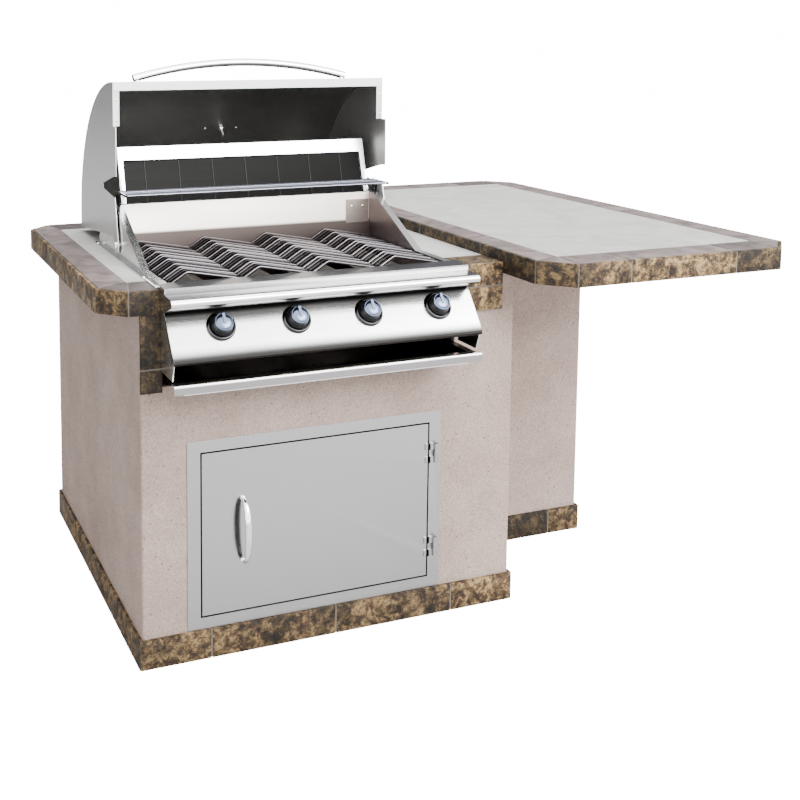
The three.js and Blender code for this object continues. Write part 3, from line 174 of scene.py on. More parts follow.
def noise(tree, place, scale, detail, roughness=0.5, distortion=0.0):
    inputs = {"Vector": place, "Scale": scale, "Detail": detail,
              "Roughness": roughness, "Distortion": distortion}
    return add(tree, "ShaderNodeTexNoise", inputs).outputs["Fac"]


def cells(tree, place, scale):
    """The distance to the nearest of many scattered points."""
    return add(tree, "ShaderNodeTexVoronoi", {"Vector": place, "Scale": scale}).outputs["Distance"]


def axes(tree, vector):
    return add(tree, "ShaderNodeSeparateXYZ", {0: vector}).outputs


def ramp(tree, value, stops):
    """A colour ramp over (place, colour) stops."""
    made = add(tree, "ShaderNodeValToRGB", {"Fac": value})
    while len(made.color_ramp.elements) < len(stops):
        made.color_ramp.elements.new(0.5)
    for element, (place, color) in zip(made.color_ramp.elements, stops):
        element.position = place
        element.color = (*color, 1)
    return made.outputs["Color"]


def mix(tree, factor, a, b):
    """Colour a where the factor is 0 and b where it is 1."""
    return add(tree, "ShaderNodeMix", {0: factor, 6: a, 7: b}, data_type="RGBA").outputs[2]


def brighten(tree, color, value):
    return add(tree, "ShaderNodeHueSaturation", {"Color": color, "Value": value}).outputs[0]


def give(tree, sockets, values):
    """Links each value to the socket of its name."""
    for key, value in values.items():
        tree.links.new(value, sockets[key])


# %% Groups with named sockets
FLOAT = "NodeSocketFloat"
COLOR = "NodeSocketColor"
VEC = "NodeSocketVector"
GEOMETRY = "NodeSocketGeometry"


def new_group(name, inputs, outputs, kind="ShaderNodeTree"):
    """A node group: its tree, its input sockets and its output sockets."""
    tree = bpy.data.node_groups.new(name, kind)
    for label, socket, value in inputs:
        made = tree.interface.new_socket(label, in_out="INPUT", socket_type=socket)
        if value is not None:
            made.default_value = value
    for label, socket in outputs:
        tree.interface.new_socket(label, in_out="OUTPUT", socket_type=socket)
    given = tree.nodes.new("NodeGroupInput").outputs
    print("group:", name, "takes", [row[0] for row in inputs], "gives", [row[0] for row in outputs])
    return tree, given, tree.nodes.new("NodeGroupOutput").inputs


def moved_by_tone(tree, given, reach):
    """The place, moved by up to a reach, so that each tile is cut from another part of the stone."""
    shift = calc(tree, "MULTIPLY", given["Tone"], reach)
    return add(tree, VECTOR, {0: given["Vector"], 1: shift}).outputs[0]


# %% [markdown]
# ## Mottled stone
# The edge and base tiles are a rustic stone with brown, cream and near-black patches. It could be
# painted on each tile, but noise gives endless stone without a seam. A broad noise picks the patch
# colour, a finer one lays dark and light veins over it, and cells give the surface its grain. Each
# tile carries a number called tone, which moves and brightens the pattern, so no two tiles match.

# %% Group: mottled stone
mottled_stone, given, result = new_group(
    "mottled_stone", [("Vector", VEC, None), ("Tone", FLOAT, 0.5)],
    [("Color", COLOR), ("Height", FLOAT), ("Shine", FLOAT)])
tree = mottled_stone
moved = moved_by_tone(tree, given, 41.0)
broad = noise(tree, moved, 42, 9, 0.78, 0.5)
veins = noise(tree, moved, 120, 9, 0.8, 0.6)
patch = ramp(tree, broad, [
    (0.34, (0.007, 0.004, 0.003)), (0.43, (0.030, 0.017, 0.009)), (0.50, (0.090, 0.054, 0.024)),
    (0.57, (0.270, 0.178, 0.080)), (0.65, (0.150, 0.102, 0.050)), (0.76, (0.035, 0.026, 0.016)),
])
dark_veins = mask(tree, veins, 0.49, 0.38)
light_veins = calc(tree, "MULTIPLY", mask(tree, veins, 0.60, 0.72), 0.75)
stone = mix(tree, dark_veins, patch, (0.006, 0.004, 0.003, 1))
stone = mix(tree, light_veins, stone, (0.42, 0.35, 0.24, 1))
drift = spread(tree, noise(tree, moved, 13, 4, 0.7, 0.8), 0.30, 1.30, 0.42, 0.56)
value = calc(tree, "MULTIPLY", spread(tree, given["Tone"], 0.22, 1.40), drift)
give(tree, result, {
    "Color": brighten(tree, stone, value),
    "Height": calc(tree, "ADD", veins, cells(tree, moved, 210)),
    "Shine": spread(tree, veins, 0.24, 0.62)})

# %% [markdown]
# ## Clouded stone, stucco, brushed steel
# The fields and borders of the tops are paler stone with faint drifting clouds. Stucco is sand and
# cement thrown on and rubbed down: fine grain, with pits where it didn't close. Brushed steel is
# scratched one way by a belt, and one noise stretched a hundredfold along that way gives all of its
# scratches at once.

# %% Group: clouded stone
clouded_stone, given, result = new_group(
    "clouded_stone", [("Vector", VEC, None), ("Tone", FLOAT, 0.5)], [("Cloud", FLOAT), ("Grain", FLOAT)])
tree = clouded_stone
moved = moved_by_tone(tree, given, 17.0)
give(tree, result, {
    "Cloud": mask(tree, noise(tree, moved, 9, 8, 0.6, 1.4), 0.36, 0.66),
    "Grain": noise(tree, moved, 240, 3, 0.7)})

# %% Group: stucco
stucco_coat, given, result = new_group(
    "stucco_coat", [("Vector", VEC, None)],
    [("Patch", FLOAT), ("Height", FLOAT), ("Pits", FLOAT), ("Sand", FLOAT)])
tree = stucco_coat
place = given["Vector"]
sand = noise(tree, place, 240, 4, 0.75)
holes = mask(tree, cells(tree, place, 85), 0.24, 0.10)
sparse = mask(tree, noise(tree, place, 33, 2), 0.52, 0.60)
pits = calc(tree, "MULTIPLY", holes, sparse)
lumps = calc(tree, "MULTIPLY_ADD", noise(tree, place, 95, 5, 0.65), 1.3, sand)
give(tree, result, {
    "Patch": noise(tree, place, 5.5, 5, 0.6),
    "Height": calc(tree, "MULTIPLY_ADD", pits, -1.1, lumps),
    "Pits": pits,
    "Sand": sand})

# %% Group: brushed steel
ALONG_X = (3.0, 420.0, 420.0)
brushed_steel, given, result = new_group(
    "brushed_steel", [("Vector", VEC, None), ("Stretch", VEC, ALONG_X)],
    [("Lines", FLOAT), ("Smudge", FLOAT)])
tree = brushed_steel
stretched = add(tree, VECTOR, {0: given["Vector"], 1: given["Stretch"]}, operation="MULTIPLY").outputs[0]
give(tree, result, {
    "Lines": noise(tree, stretched, 1.0, 5, 0.7),
    "Smudge": noise(tree, given["Vector"], 6, 4, 0.6)})

# %% [markdown]
# ## Materials
# A material is one Principled shader. Values that don't vary are set on its sockets, and the groups
# only feed what does vary: colour, roughness and the relief that a Bump node reads.

# %% Material helpers
def material(name, color, metallic, roughness):
    """A material with one shader: the material, its tree, its shader, and object coordinates."""
    made = bpy.data.materials.new(name)
    made.use_nodes = True
    shader = made.node_tree.nodes["Principled BSDF"]
    shader.inputs["Base Color"].default_value = (*color, 1)
    shader.inputs["Metallic"].default_value = metallic
    shader.inputs["Roughness"].default_value = roughness
    made.diffuse_color = (*color, 1)
    print("material:", name)
    return made, made.node_tree, shader, add(made.node_tree, COORD).outputs["Object"]


def use(tree, group, inputs):
    """The outputs of a shared group, placed in a material with its own values."""
    return add(tree, "ShaderNodeGroup", inputs, node_tree=group).outputs


def relief(tree, shader, height, depth, strength=1.0):
    """Bumps of a depth in metres, read from a height between 0 and 1."""
    bump = add(tree, "ShaderNodeBump", {"Height": height, "Distance": depth, "Strength": strength})
    tree.links.new(bump.outputs["Normal"], shader.inputs["Normal"])


def tone_of(tree):
    return add(tree, "ShaderNodeAttribute", attribute_name="tone").outputs["Fac"]


# %% Stones and grout
def clouded_material(name, light_color, dark_color, roughness, depth=0.0003, fade=1.0):
    """Clouded stone; `fade` is the brightness of the tiles with the lowest tone."""
    made, tree, shader, place = material(name, light_color, 0, roughness)
    shader.inputs["Specular IOR Level"].default_value = 0.3
    cloud = use(tree, clouded_stone, {"Vector": place, "Tone": tone_of(tree)})
    color = mix(tree, cloud["Cloud"], (*light_color, 1), (*dark_color, 1))
    if fade < 1:
        color = brighten(tree, color, spread(tree, tone_of(tree), fade, 1.0, 0.0, 0.3))
    give(tree, shader.inputs, {
        "Base Color": color,
        "Roughness": spread(tree, cloud["Grain"], roughness - 0.12, roughness + 0.12)})
    relief(tree, shader, cloud["Grain"], depth)
    return made


tile_stone, tree, shader, place = material("tile_stone", (0.09, 0.055, 0.025), 0, 0.55)
shader.inputs["Specular IOR Level"].default_value = 0.25
stone = use(tree, mottled_stone, {"Vector": place, "Tone": tone_of(tree)})
give(tree, shader.inputs, {
    "Base Color": stone["Color"],
    "Roughness": spread(tree, stone["Shine"], 0.45, 0.75)})
relief(tree, shader, stone["Height"], 0.0012, 0.8)

field_stone = clouded_material("field_stone", (0.41, 0.405, 0.39), (0.32, 0.315, 0.305), 0.5)
border_stone = clouded_material(
    "border_stone", (0.165, 0.136, 0.131), (0.065, 0.050, 0.047), 0.5, fade=0.35)
grout = clouded_material("grout", (0.20, 0.17, 0.14), (0.13, 0.11, 0.09), 0.9, 0.0008)
board = clouded_material("cement_board", (0.36, 0.34, 0.32), (0.28, 0.27, 0.255), 0.9, 0.0006)

# %% Stucco
stucco, tree, shader, place = material("stucco", (0.37, 0.28, 0.24), 0, 0.95)
coat = use(tree, stucco_coat, {"Vector": place})
patches = spread(tree, coat["Patch"], -0.9, 1.9)
color = mix(tree, patches, (0.335, 0.245, 0.205, 1), (0.43, 0.33, 0.285, 1))
color = brighten(tree, color, spread(tree, coat["Sand"], 0.76, 1.24, 0.36, 0.64))
# The pits are darkened in colour as well as sunk: painted shade in their hollows.
color = mix(tree, spread(tree, coat["Pits"], 0, 0.7), color, (0.13, 0.09, 0.07, 1))
give(tree, shader.inputs, {"Base Color": color})
relief(tree, shader, coat["Height"], 0.0022, 0.85)


# %% Steel makers
def steel(name, color, roughness, stretch=ALONG_X, vary=0.10, metallic=1.0, depth=0.00002):
    """Steel brushed along the axis whose stretch is the small one; `vary` is for its roughness."""
    made, tree, shader, place = material(name, color, metallic, roughness)
    brushed = use(tree, brushed_steel, {"Vector": place, "Stretch": stretch})
    lines = spread(tree, brushed["Lines"], roughness - vary, roughness + vary)
    smudge = spread(tree, brushed["Smudge"], -vary / 2, vary / 2)
    give(tree, shader.inputs, {"Roughness": calc(tree, "ADD", lines, smudge)})
    relief(tree, shader, brushed["Lines"], depth, 0.6)
    return made


def base_color(made):
    """A material's tree, its colour socket, and the link or the colour that is there now."""
    socket = made.node_tree.nodes["Principled BSDF"].inputs["Base Color"]
    now = socket.links[0].from_socket if socket.is_linked else tuple(socket.default_value)
    return made.node_tree, socket, now


def two_tone(made, kind, axis, start, end, far_color):
    """Turns a steel's colour into another one along an axis of its places or of its normals."""
    tree, socket, near_color = base_color(made)
    value = axes(tree, add(tree, COORD).outputs[kind])[axis]
    share = mask(tree, value, start, end, interpolation_type="SMOOTHSTEP")
    tree.links.new(mix(tree, share, near_color, (*far_color, 1)), socket)


def uneven(made, low, high):
    """Lets the pieces of a row differ in brightness, by their tone."""
    tree, socket, color = base_color(made)
    tree.links.new(brighten(tree, color, spread(tree, tone_of(tree), low, high, 0.35, 0.80)), socket)


# %% Steels of the grill and the door
satin = steel("satin_steel", (0.40, 0.395, 0.395), 0.36)
bright = steel("bright_steel", (0.84, 0.84, 0.83), 0.22, depth=0.000006)
# The flat of the deck is the same sheet as the bright fascia; its darker steel is a painted reflection.
deck_steel = steel("deck_steel", (0.10, 0.10, 0.11), 0.34, depth=0.000003)
side_steel = steel("side_steel", (0.66, 0.66, 0.66), 0.34, (420.0, 3.0, 420.0))
dull = steel("dull_steel", (0.085, 0.08, 0.075), 0.45, (420.0, 4.0, 420.0), 0.14)
lip_steel = steel("lip_steel", (0.34, 0.32, 0.33), 0.3)
# A nearly black steel as painted shade: under the fascia's nose and on its hem, inside the drip pan, and on
# the firebox below the deck.
painted_shade = steel("smoked_steel", (0.018, 0.017, 0.016), 0.32, (6.0, 300.0, 300.0))
chamber_side_steel = steel(
    "chamber_side_steel", (0.25, 0.205, 0.205), 0.38, (300.0, 5.0, 300.0), 0.05, depth=0.000003)
door_steel = steel("door_steel", (0.43, 0.425, 0.425), 0.17, vary=0.05)
hinge_dark = steel("hinge_dark", (0.05, 0.05, 0.05), 0.35, (200.0, 200.0, 200.0), 0.08)
tube_aluminium = steel("tube_aluminium", (0.52, 0.53, 0.54), 0.5, (200.0, 200.0, 4.0))
# The inner faces of the hood get darker steels: painted shade of the hood's inside.
plate_inside = steel("plate_inside", (0.46, 0.455, 0.45), 0.52, (300.0, 4.0, 300.0), 0.16)
hood_inside = steel("hood_inside", (0.20, 0.195, 0.19), 0.42, (4.0, 300.0, 300.0), 0.16, 0.9)

# The control panel darkens towards its lower hem, a painted reflection of the dark slot below it, and under
# its rolled nose, a painted reflection and shadow of the nose.
HEM_LOW, HEM_HIGH, UNDER_NOSE, NOSE = 787, 809, 869, 878
panel_steel = steel("panel_steel", (0.90, 0.90, 0.89), 0.20)
two_tone(panel_steel, "Object", "Z", z_of(HEM_HIGH), z_of(HEM_LOW), (0.03, 0.03, 0.03))
two_tone(panel_steel, "Object", "Z", z_of(UNDER_NOSE), z_of(NOSE), (0.05, 0.05, 0.05))

# The back wall of the cooking chamber turns dark just above the grates: painted shade.
SHADE_STARTS, SHADE_FULL = 986, 976
fire_steel = steel("fire_steel", (0.76, 0.70, 0.62), 0.36, (4.0, 300.0, 300.0), 0.16)
two_tone(fire_steel, "Object", "Z", z_of(SHADE_STARTS), z_of(SHADE_FULL), (0.060, 0.048, 0.044))

# %% Chrome, brass and plastics
wire_chrome = steel("wire_chrome", (0.42, 0.43, 0.52), 0.14, (60.0, 60.0, 60.0), 0.04)
# Painted shade: the wires turn nearly black where they face down.
two_tone(wire_chrome, "Normal", "Z", 0.75, 0.35, (0.02, 0.02, 0.024))
uneven(wire_chrome, 0.25, 1.4)
bezel_chrome = steel("bezel_chrome", (0.045, 0.045, 0.048), 0.10, (40.0, 40.0, 40.0), 0.05)
trim_chrome = steel("trim_chrome", (0.86, 0.86, 0.87), 0.09, (40.0, 40.0, 40.0), 0.05)
brass = steel("brass", (0.62, 0.44, 0.19), 0.33, (90.0, 90.0, 90.0), 0.12)
black_plastic = steel("black_plastic", (0.010, 0.010, 0.011), 0.30, (160.0, 160.0, 160.0), 0.08, 0.0)
black_plastic.node_tree.nodes["Principled BSDF"].inputs["Specular IOR Level"].default_value = 0.15
knob_silver = steel("knob_silver", (0.11, 0.135, 0.20), 0.24, (200.0, 200.0, 200.0), 0.08)
dial_white = steel("dial_white", (0.80, 0.79, 0.75), 0.5, (50.0, 50.0, 50.0), 0.05, 0.0)
print("materials so far:", len(bpy.data.materials))

# %% [markdown]
# ## Pieces from CAD nodes
# A CAD node is a cloud of loose triangles. `dress` copies it, joins the triangles into whole faces,
# rounds the edges as a press brake or a file would, and shades it. The CAD node is then hidden.
# Rounding a copy keeps each fold and hole where the CAD has it, which drawing it again might not.

# %% Helpers for pieces
MERGE_DISTANCE = 0.000002
FLAT_ANGLE = math.radians(0.5)
EDGE_ANGLE = math.radians(32)


def new_object(name, mesh):
    made = bpy.data.objects.new(name, mesh)
    bpy.context.scene.collection.objects.link(made)
    return made


def bake(piece):
    """Makes what the modifiers show the piece's own mesh."""
    bpy.context.view_layer.update()
    seen = piece.evaluated_get(bpy.context.evaluated_depsgraph_get())
    mesh = bpy.data.meshes.new_from_object(seen)
    piece.modifiers.clear()
    piece.data = mesh


def place_piece(piece, slot, *cad, body=None):
    """The piece stands for its CAD nodes and moves with their body, or only moves with a named body."""
    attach(piece, body or nodes[cad[0]]["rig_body"])
    if cad:
        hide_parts(*cad)
    print(piece.name, len(piece.data.polygons), "faces")
    return piece


def shade(mesh, angle=35):
    """Smooth faces, with sharp edges where they turn by more than an angle in degrees."""
    mesh.shade_smooth()
    mesh.set_sharp_from_angle(angle=math.radians(angle))


def dress(name, cad, slot, materials, bevel, choose=None, segments=2):
    """A finished copy of a CAD node; bevel is in millimetres, choose(centre, normal) picks a material."""
    piece = new_object(name, nodes[cad].data.copy())
    shape = bmesh.new()
    shape.from_mesh(piece.data)
    bmesh.ops.remove_doubles(shape, verts=shape.verts, dist=MERGE_DISTANCE)
    bmesh.ops.dissolve_limit(
        shape, angle_limit=FLAT_ANGLE, verts=shape.verts, edges=shape.edges, delimit={"NORMAL"})
    shape.to_mesh(piece.data)
    shape.free()
    piece.data.materials.clear()
    for made in materials:
        piece.data.materials.append(made)
    shade(piece.data)
    edge = piece.modifiers.new("edges", "BEVEL")
    edge.width = bevel / 1000
    edge.segments = segments
    edge.limit_method = "ANGLE"
    edge.angle_limit = EDGE_ANGLE
    edge.harden_normals = True
    bake(piece)
    if choose:
        for face in piece.data.polygons:
            face.material_index = choose(face.center, face.normal)
    return place_piece(piece, slot, cad)


def object_of(name, shape, materials, angle):
    """An object from a finished bmesh, which is used up."""
    mesh = bpy.data.meshes.new(name)
    shape.to_mesh(mesh)
    shape.free()
    for made in materials:
        mesh.materials.append(made)
    shade(mesh, angle)
    return new_object(name, mesh)


def mesh_of(name, points, faces, materials, angle=35):
    """An object from points in metres and faces; its normals are turned outwards."""
    shape = bmesh.new()
    made = [shape.verts.new(point) for point in points]
    for face in faces:
        shape.faces.new([made[i] for i in face])
    bmesh.ops.recalc_face_normals(shape, faces=shape.faces)
    return object_of(name, shape, materials, angle)


# %% [markdown]
# ## Tiles laid one by one
# A tiled edge is a run of single stones with grout between them. Lines drawn on a smooth band would
# look like print, so each tile is its own worn block. The path of the edge is given as two lines,
# the outer face and the inner one, with the places of the joints. Each stretch between two joints
# becomes a tile, and a second, slightly sunken body behind them is the grout.

# %% Tile maker
SINK = 1.5
JOINT = 4.0
DARK_SHARE = 0.1
BASE_WORN, EDGE_WORN, BORDER_WORN = 1.2, 1.6, 0.8


def rect(x0, x1, y0, y1):
    return [(x0, y0), (x1, y0), (x1, y1), (x0, y1)]


def tile_shape():
    shape = bmesh.new()
    shape.verts.layers.float.new("tone")
    return shape


def block(shape, plan, low, high, slot, tone, worn=0.0):
    """A straight-sided stone over a plan in millimetres, its edges worn by a radius."""
    under = [shape.verts.new(at(x, y, low)) for x, y in plan]
    over = [shape.verts.new(at(x, y, high)) for x, y in plan]
    count = len(plan)
    faces = [shape.faces.new(under), shape.faces.new(over)]
    for i in range(count):
        after = (i + 1) % count
        faces.append(shape.faces.new([under[i], under[after], over[after], over[i]]))
    bmesh.ops.recalc_face_normals(shape, faces=faces)
    for face in faces:
        face.material_index = slot
    verts = under + over
    if worn:
        edges = list({edge for face in faces for edge in face.edges})
        done = bmesh.ops.bevel(
            shape, geom=edges, offset=worn / 1000, segments=2, profile=0.6, affect="EDGES")
        verts = done["verts"]
    layer = shape.verts.layers.float["tone"]
    for vert in verts:
        vert[layer] = tone


def stretches(start, end, xs, ys):
    """The shares of a side at which its joints lie, with its two ends; cut corners have none."""
    run = (end[0] - start[0], end[1] - start[1])
    shares = []
    if abs(run[1]) < 0.001:
        shares = [(x - start[0]) / run[0] for x in xs]
    elif abs(run[0]) < 0.001:
        shares = [(y - start[1]) / run[1] for y in ys]
    return [0, *sorted(share for share in shares if 0.01 < share < 0.99), 1]


def between(a, b, share):
    return (a[0] + (b[0] - a[0]) * share, a[1] + (b[1] - a[1]) * share)


def tile_run(shape, outer, inner, xs, ys, low, high, gap=JOINT, worn=BASE_WORN, line=0.0, dark=()):
    """Tiles between two lines in plan. `line` leaves a thin joint along both long edges.

    The stretches named in `dark` get the deepest tones of the stone; on the bar's left side they also stand
    for painted shade."""
    for i in range(len(outer) - 1):
        a, b, c, d = outer[i], outer[i + 1], inner[i + 1], inner[i]
        length = math.dist(a, b)
        shares = stretches(a, b, xs, ys)
        along = ((b[0] - a[0]) / length, (b[1] - a[1]) / length)
        deep = (d[0] - a[0]) * -along[1] + (d[1] - a[1]) * along[0]
        across = (-along[1] * deep, along[0] * deep)
        push = (along[0] * gap / 2, along[1] * gap / 2)
        for start, end in zip(shares, shares[1:]):
            p, q = between(a, b, start), between(a, b, end)
            s = d if start == 0 else (p[0] + across[0], p[1] + across[1])
            r = c if end == 1 else (q[0] + across[0], q[1] + across[1])
            p, s = ((u[0] + push[0], u[1] + push[1]) for u in (p, s))
            q, r = ((u[0] - push[0], u[1] - push[1]) for u in (q, r))
            share = line / abs(deep)
            p, s = between(p, s, share), between(s, p, share)
            q, r = between(q, r, share), between(r, q, share)
            tone = dice.random() * (DARK_SHARE if i in dark else 1)
            block(shape, [p, q, r, s], low, high, 0, tone, worn)
        share = SINK / abs(deep)
        a, b = between(a, d, share), between(b, c, share)
        block(shape, [a, b, c, d], low + SINK, high - SINK, 1, dice.random())


def tiles(name, cad, look, shape):
    """The finished tiles of a CAD node; a look is a stone and its slot."""
    stone, slot = look
    return place_piece(object_of(name, shape, [stone, grout], 40), slot, cad)


def band(name, cad, look, outer, inner, joints, low, high, **how):
    """A whole band of tiles; joints are the places of the cross joints along x and along y."""
    shape = tile_shape()
    tile_run(shape, outer, inner, *joints, low, high, **how)
    return tiles(name, cad, look, shape)


# %% [markdown]
# ## The tiled bands
# Tiles of one length run round the foot, the counter and the bar top, whose corners are cut off at
# 45 degrees. The lines below go clockwise round each of them. Drawing the inner line by hand would
# repeat every corner, so each line is the outer one drawn in by the thickness of the edge tiles, or
# the border of the stone field.

# %% Base tiles
TILE = 333.0
WIDE, DEEP = 1035.0, 990.0
PEDESTAL_RIGHT, PEDESTAL_FRONT = 1478.0, 308.0
WALL_FACE = 8.0
CLEAR = 0.3
BASE_HIGH, BASE_THICK = 74.0, WALL_FACE - CLEAR
EDGE_LOOK = (tile_stone, "stone_tile")
BORDER_LOOK = (border_stone, "border_tile")
BORDER_HOW = {"worn": BORDER_WORN, "line": 0.9, "gap": 3.0}


def joints(first, count):
    return [first + TILE * i for i in range(count)]


BODY_JOINTS = (joints(182.0, 3), joints(TILE, 2))
inside = (BASE_THICK, WIDE - BASE_THICK, BASE_THICK, DEEP - BASE_THICK)
start = PEDESTAL_FRONT - CLEAR
band("base_stones", "base_tiles", EDGE_LOOK,
     [(WIDE, start), (WIDE, 0), (0, 0), (0, DEEP), (WIDE, DEEP)],
     [(inside[1], start), (inside[1], inside[2]), (inside[0], inside[2]), (inside[0], inside[3]),
      (WIDE, inside[3])],
     BODY_JOINTS, 0, BASE_HIGH)

start = WIDE + CLEAR
inside = (PEDESTAL_RIGHT - BASE_THICK, PEDESTAL_FRONT + BASE_THICK, DEEP - BASE_THICK)
band("pedestal_base_stones", "pedestal_base_tiles", EDGE_LOOK,
     [(start, DEEP), (PEDESTAL_RIGHT, DEEP), (PEDESTAL_RIGHT, PEDESTAL_FRONT), (start, PEDESTAL_FRONT)],
     [(start, inside[2]), (inside[0], inside[2]), (inside[0], inside[1]), (start, inside[1])],
     (joints(WIDE + TILE, 1), joints(PEDESTAL_FRONT + TILE, 1)), 0, BASE_HIGH)

# %% Counter tiles
TOP = 928.0
EDGE_HIGH, EDGE_THICK, BORDER_THICK = 59.0, 9.0, 7.5
GRILL_LEFT, GRILL_RIGHT = 61.0, 849.0
COUNTER_END = 985.4
BEYOND = 2000.0
COUNTER_PLAN = (-84.0, BEYOND, -2.0, 992.0)
COUNTER_FIELD = (1.0, BEYOND, 103.0, 887.0)
FIELD_CLIP = 5.0


def drawn_in(plan, clip, inset=0.0):
    """The outline of a top with cut corners, drawn in, clockwise from the front left."""
    cut = clip - inset * (2 - math.sqrt(2))
    left, right, front, rear = plan
    left, right, front, rear = left + inset, right - inset, front + inset, rear - inset
    return [(left + cut, front), (left, front + cut), (left, rear - cut), (left + cut, rear),
            (right - cut, rear), (right, rear - cut), (right, front + cut), (right - cut, front),
            (left + cut, front)]


def counter_line(plan, clip, inset=0.0):
    """The stretch of a counter line from the grill, round the left end, to the bar."""
    line = drawn_in(plan, clip, inset)
    return [(GRILL_LEFT, line[0][1]), *line[:4], (COUNTER_END, line[3][1])]


COUNTER_CLIP = 64.0
band("counter_edge_stones", "counter_edge_tiles", EDGE_LOOK,
     counter_line(COUNTER_PLAN, COUNTER_CLIP), counter_line(COUNTER_PLAN, COUNTER_CLIP, EDGE_THICK - CLEAR),
     BODY_JOINTS, TOP - EDGE_HIGH, TOP, worn=EDGE_WORN)
band("counter_border_stones", "counter_border_tiles", BORDER_LOOK,
     counter_line(COUNTER_PLAN, COUNTER_CLIP, EDGE_THICK + CLEAR), counter_line(COUNTER_FIELD, FIELD_CLIP),
     BODY_JOINTS, TOP - BORDER_THICK, TOP, dark=(0, 1), **BORDER_HOW)

# %% Bar tiles
BAR = 957.0
BAR_PLAN = (986.0, 1778.0, -218.0, 1245.0)
BAR_FIELD = (1072.0, 1692.0, -112.0, 1139.0)
BAR_CLIP = 76.0
BAR_JOINTS = (joints(1221.0, 2), joints(115.0, 4))
# The bar's left side (stretch 1) gets the deepest tones: darker stone, and painted shade of the side that
# faces away from the light.
band("bar_edge_stones", "bar_edge_tiles", EDGE_LOOK,
     drawn_in(BAR_PLAN, BAR_CLIP), drawn_in(BAR_PLAN, BAR_CLIP, EDGE_THICK - CLEAR),
     BAR_JOINTS, BAR - EDGE_HIGH, BAR, worn=EDGE_WORN, dark=(1,))
band("bar_border_stones", "bar_border_tiles", BORDER_LOOK,
     drawn_in(BAR_PLAN, BAR_CLIP, EDGE_THICK + CLEAR), drawn_in(BAR_FIELD, FIELD_CLIP),
     BAR_JOINTS, BAR - BORDER_THICK, BAR, **BORDER_HOW)

# %% Tiles beside the grill
COLUMN_LOW, COLUMN_JOINT, COLUMN_HIGH = 680.7, 737.7, 868.7
COLUMN_GROUT = (682, 867)
COLUMN_TONE, GROUT_TONE = 0.15, 0.4
column = (WALL_FACE, GRILL_LEFT - CLEAR)
shape = tile_shape()
for low, high in ((COLUMN_LOW, COLUMN_JOINT - JOINT / 2), (COLUMN_JOINT + JOINT / 2, COLUMN_HIGH)):
    block(shape, rect(*column, 0, BASE_THICK), low, high, 0, dice.random() * COLUMN_TONE, BASE_WORN)
block(shape, rect(*column, SINK, BASE_THICK), *COLUMN_GROUT, 1, GROUT_TONE)
tiles("surround_stones", "surround_tiles", EDGE_LOOK, shape)

CORNER_LOW = 804.0
CORNER_GROUT_TONE = 0.3
front = COUNTER_PLAN[2]
edge_back = front + EDGE_THICK - CLEAR
left = GRILL_RIGHT + CLEAR
face = rect(left, COUNTER_END, front, edge_back)
border = rect(left, COUNTER_END, front + EDGE_THICK + 2 * CLEAR, COUNTER_FIELD[2] - CLEAR)
behind = rect(left + 0.2, COUNTER_END, front + SINK, edge_back)
shape = tile_shape()
block(shape, face, TOP - EDGE_HIGH, TOP, 0, dice.random(), EDGE_WORN)
block(shape, border, TOP - BORDER_THICK, TOP, 0, dice.random(), BORDER_WORN)
block(shape, face, CORNER_LOW, TOP - EDGE_HIGH - JOINT, 0, dice.random(), EDGE_WORN)
block(shape, behind, CORNER_LOW + SINK, TOP - SINK, 1, CORNER_GROUT_TONE)
tiles("corner_stones", "counter_corner_tiles", EDGE_LOOK, shape)

# %% [markdown]
# ## Slabs and fields
# Each top is a board with pale field tiles laid on it. The slabs keep their CAD shape: only their
# top face is stone, and the rest is cement board. A new field could replace the whole top, but its
# corners alone differ from the photo, so small stones square the cut corners of the fields.

# %% Slabs
FIELD_THICK = 4


def top_is_stone(height):
    """0 on the top face of a slab of a height, 1 elsewhere."""
    return lambda centre, normal: 0 if normal.z > 0.7 and centre.z > z_of(height - FIELD_THICK) else 1


for name, cad, height in (("counter_board", "counter_slab", TOP), ("bar_board", "bar_slab", BAR)):
    dress(name, cad, "field_tile", [field_stone, board], 0.6, top_is_stone(height))

# %% Corners of the fields
COUNTER_LEG, BAR_LEG = 38.9, 46.1
LAP = 1
HAIR = 0.04


def field_corner(shape, top, leg, x, y, right, rear):
    """A three-sided stone; right and rear are 1 or -1, the ways its legs run from its corner."""
    plan = [(x, y), (x + leg * right, y), (x, y + leg * rear)]
    block(shape, plan, top - BORDER_THICK, top - HAIR, 0, 0)


shape = tile_shape()
left, _, front, rear = COUNTER_FIELD
field_corner(shape, TOP, COUNTER_LEG, left, front, 1, 1)
field_corner(shape, TOP, COUNTER_LEG, left, rear, 1, -1)
left, right, front, rear = BAR_FIELD
for x, across in ((left - LAP, 1), (right + LAP, -1)):
    for y, way in ((front - LAP, 1), (rear + LAP, -1)):
        field_corner(shape, BAR, BAR_LEG, x, y, across, way)
place_piece(object_of("field_corners", shape, [field_stone], 40), "field_tile", body="island")

# %% [markdown]
# ## Stucco walls
# The walls are coated in one go on the real island, so its corners have no seam. Four dressed
# boards would show one at each corner. So the body is built as one box with soft corners, and the
# door's and the grill's openings are cut out of it.

# %% Helpers for walls
def soft_box(x0, x1, y0, y1, radius, steps=5):
    """A plan with rounded corners."""
    plan = []
    for cx, cy, start in ((x1 - radius, y1 - radius, 0), (x0 + radius, y1 - radius, 90),
                          (x0 + radius, y0 + radius, 180), (x1 - radius, y0 + radius, 270)):
        for i in range(steps + 1):
            angle = math.radians(start + 90 * i / steps)
            plan.append((cx + radius * math.cos(angle), cy + radius * math.sin(angle)))
    return plan


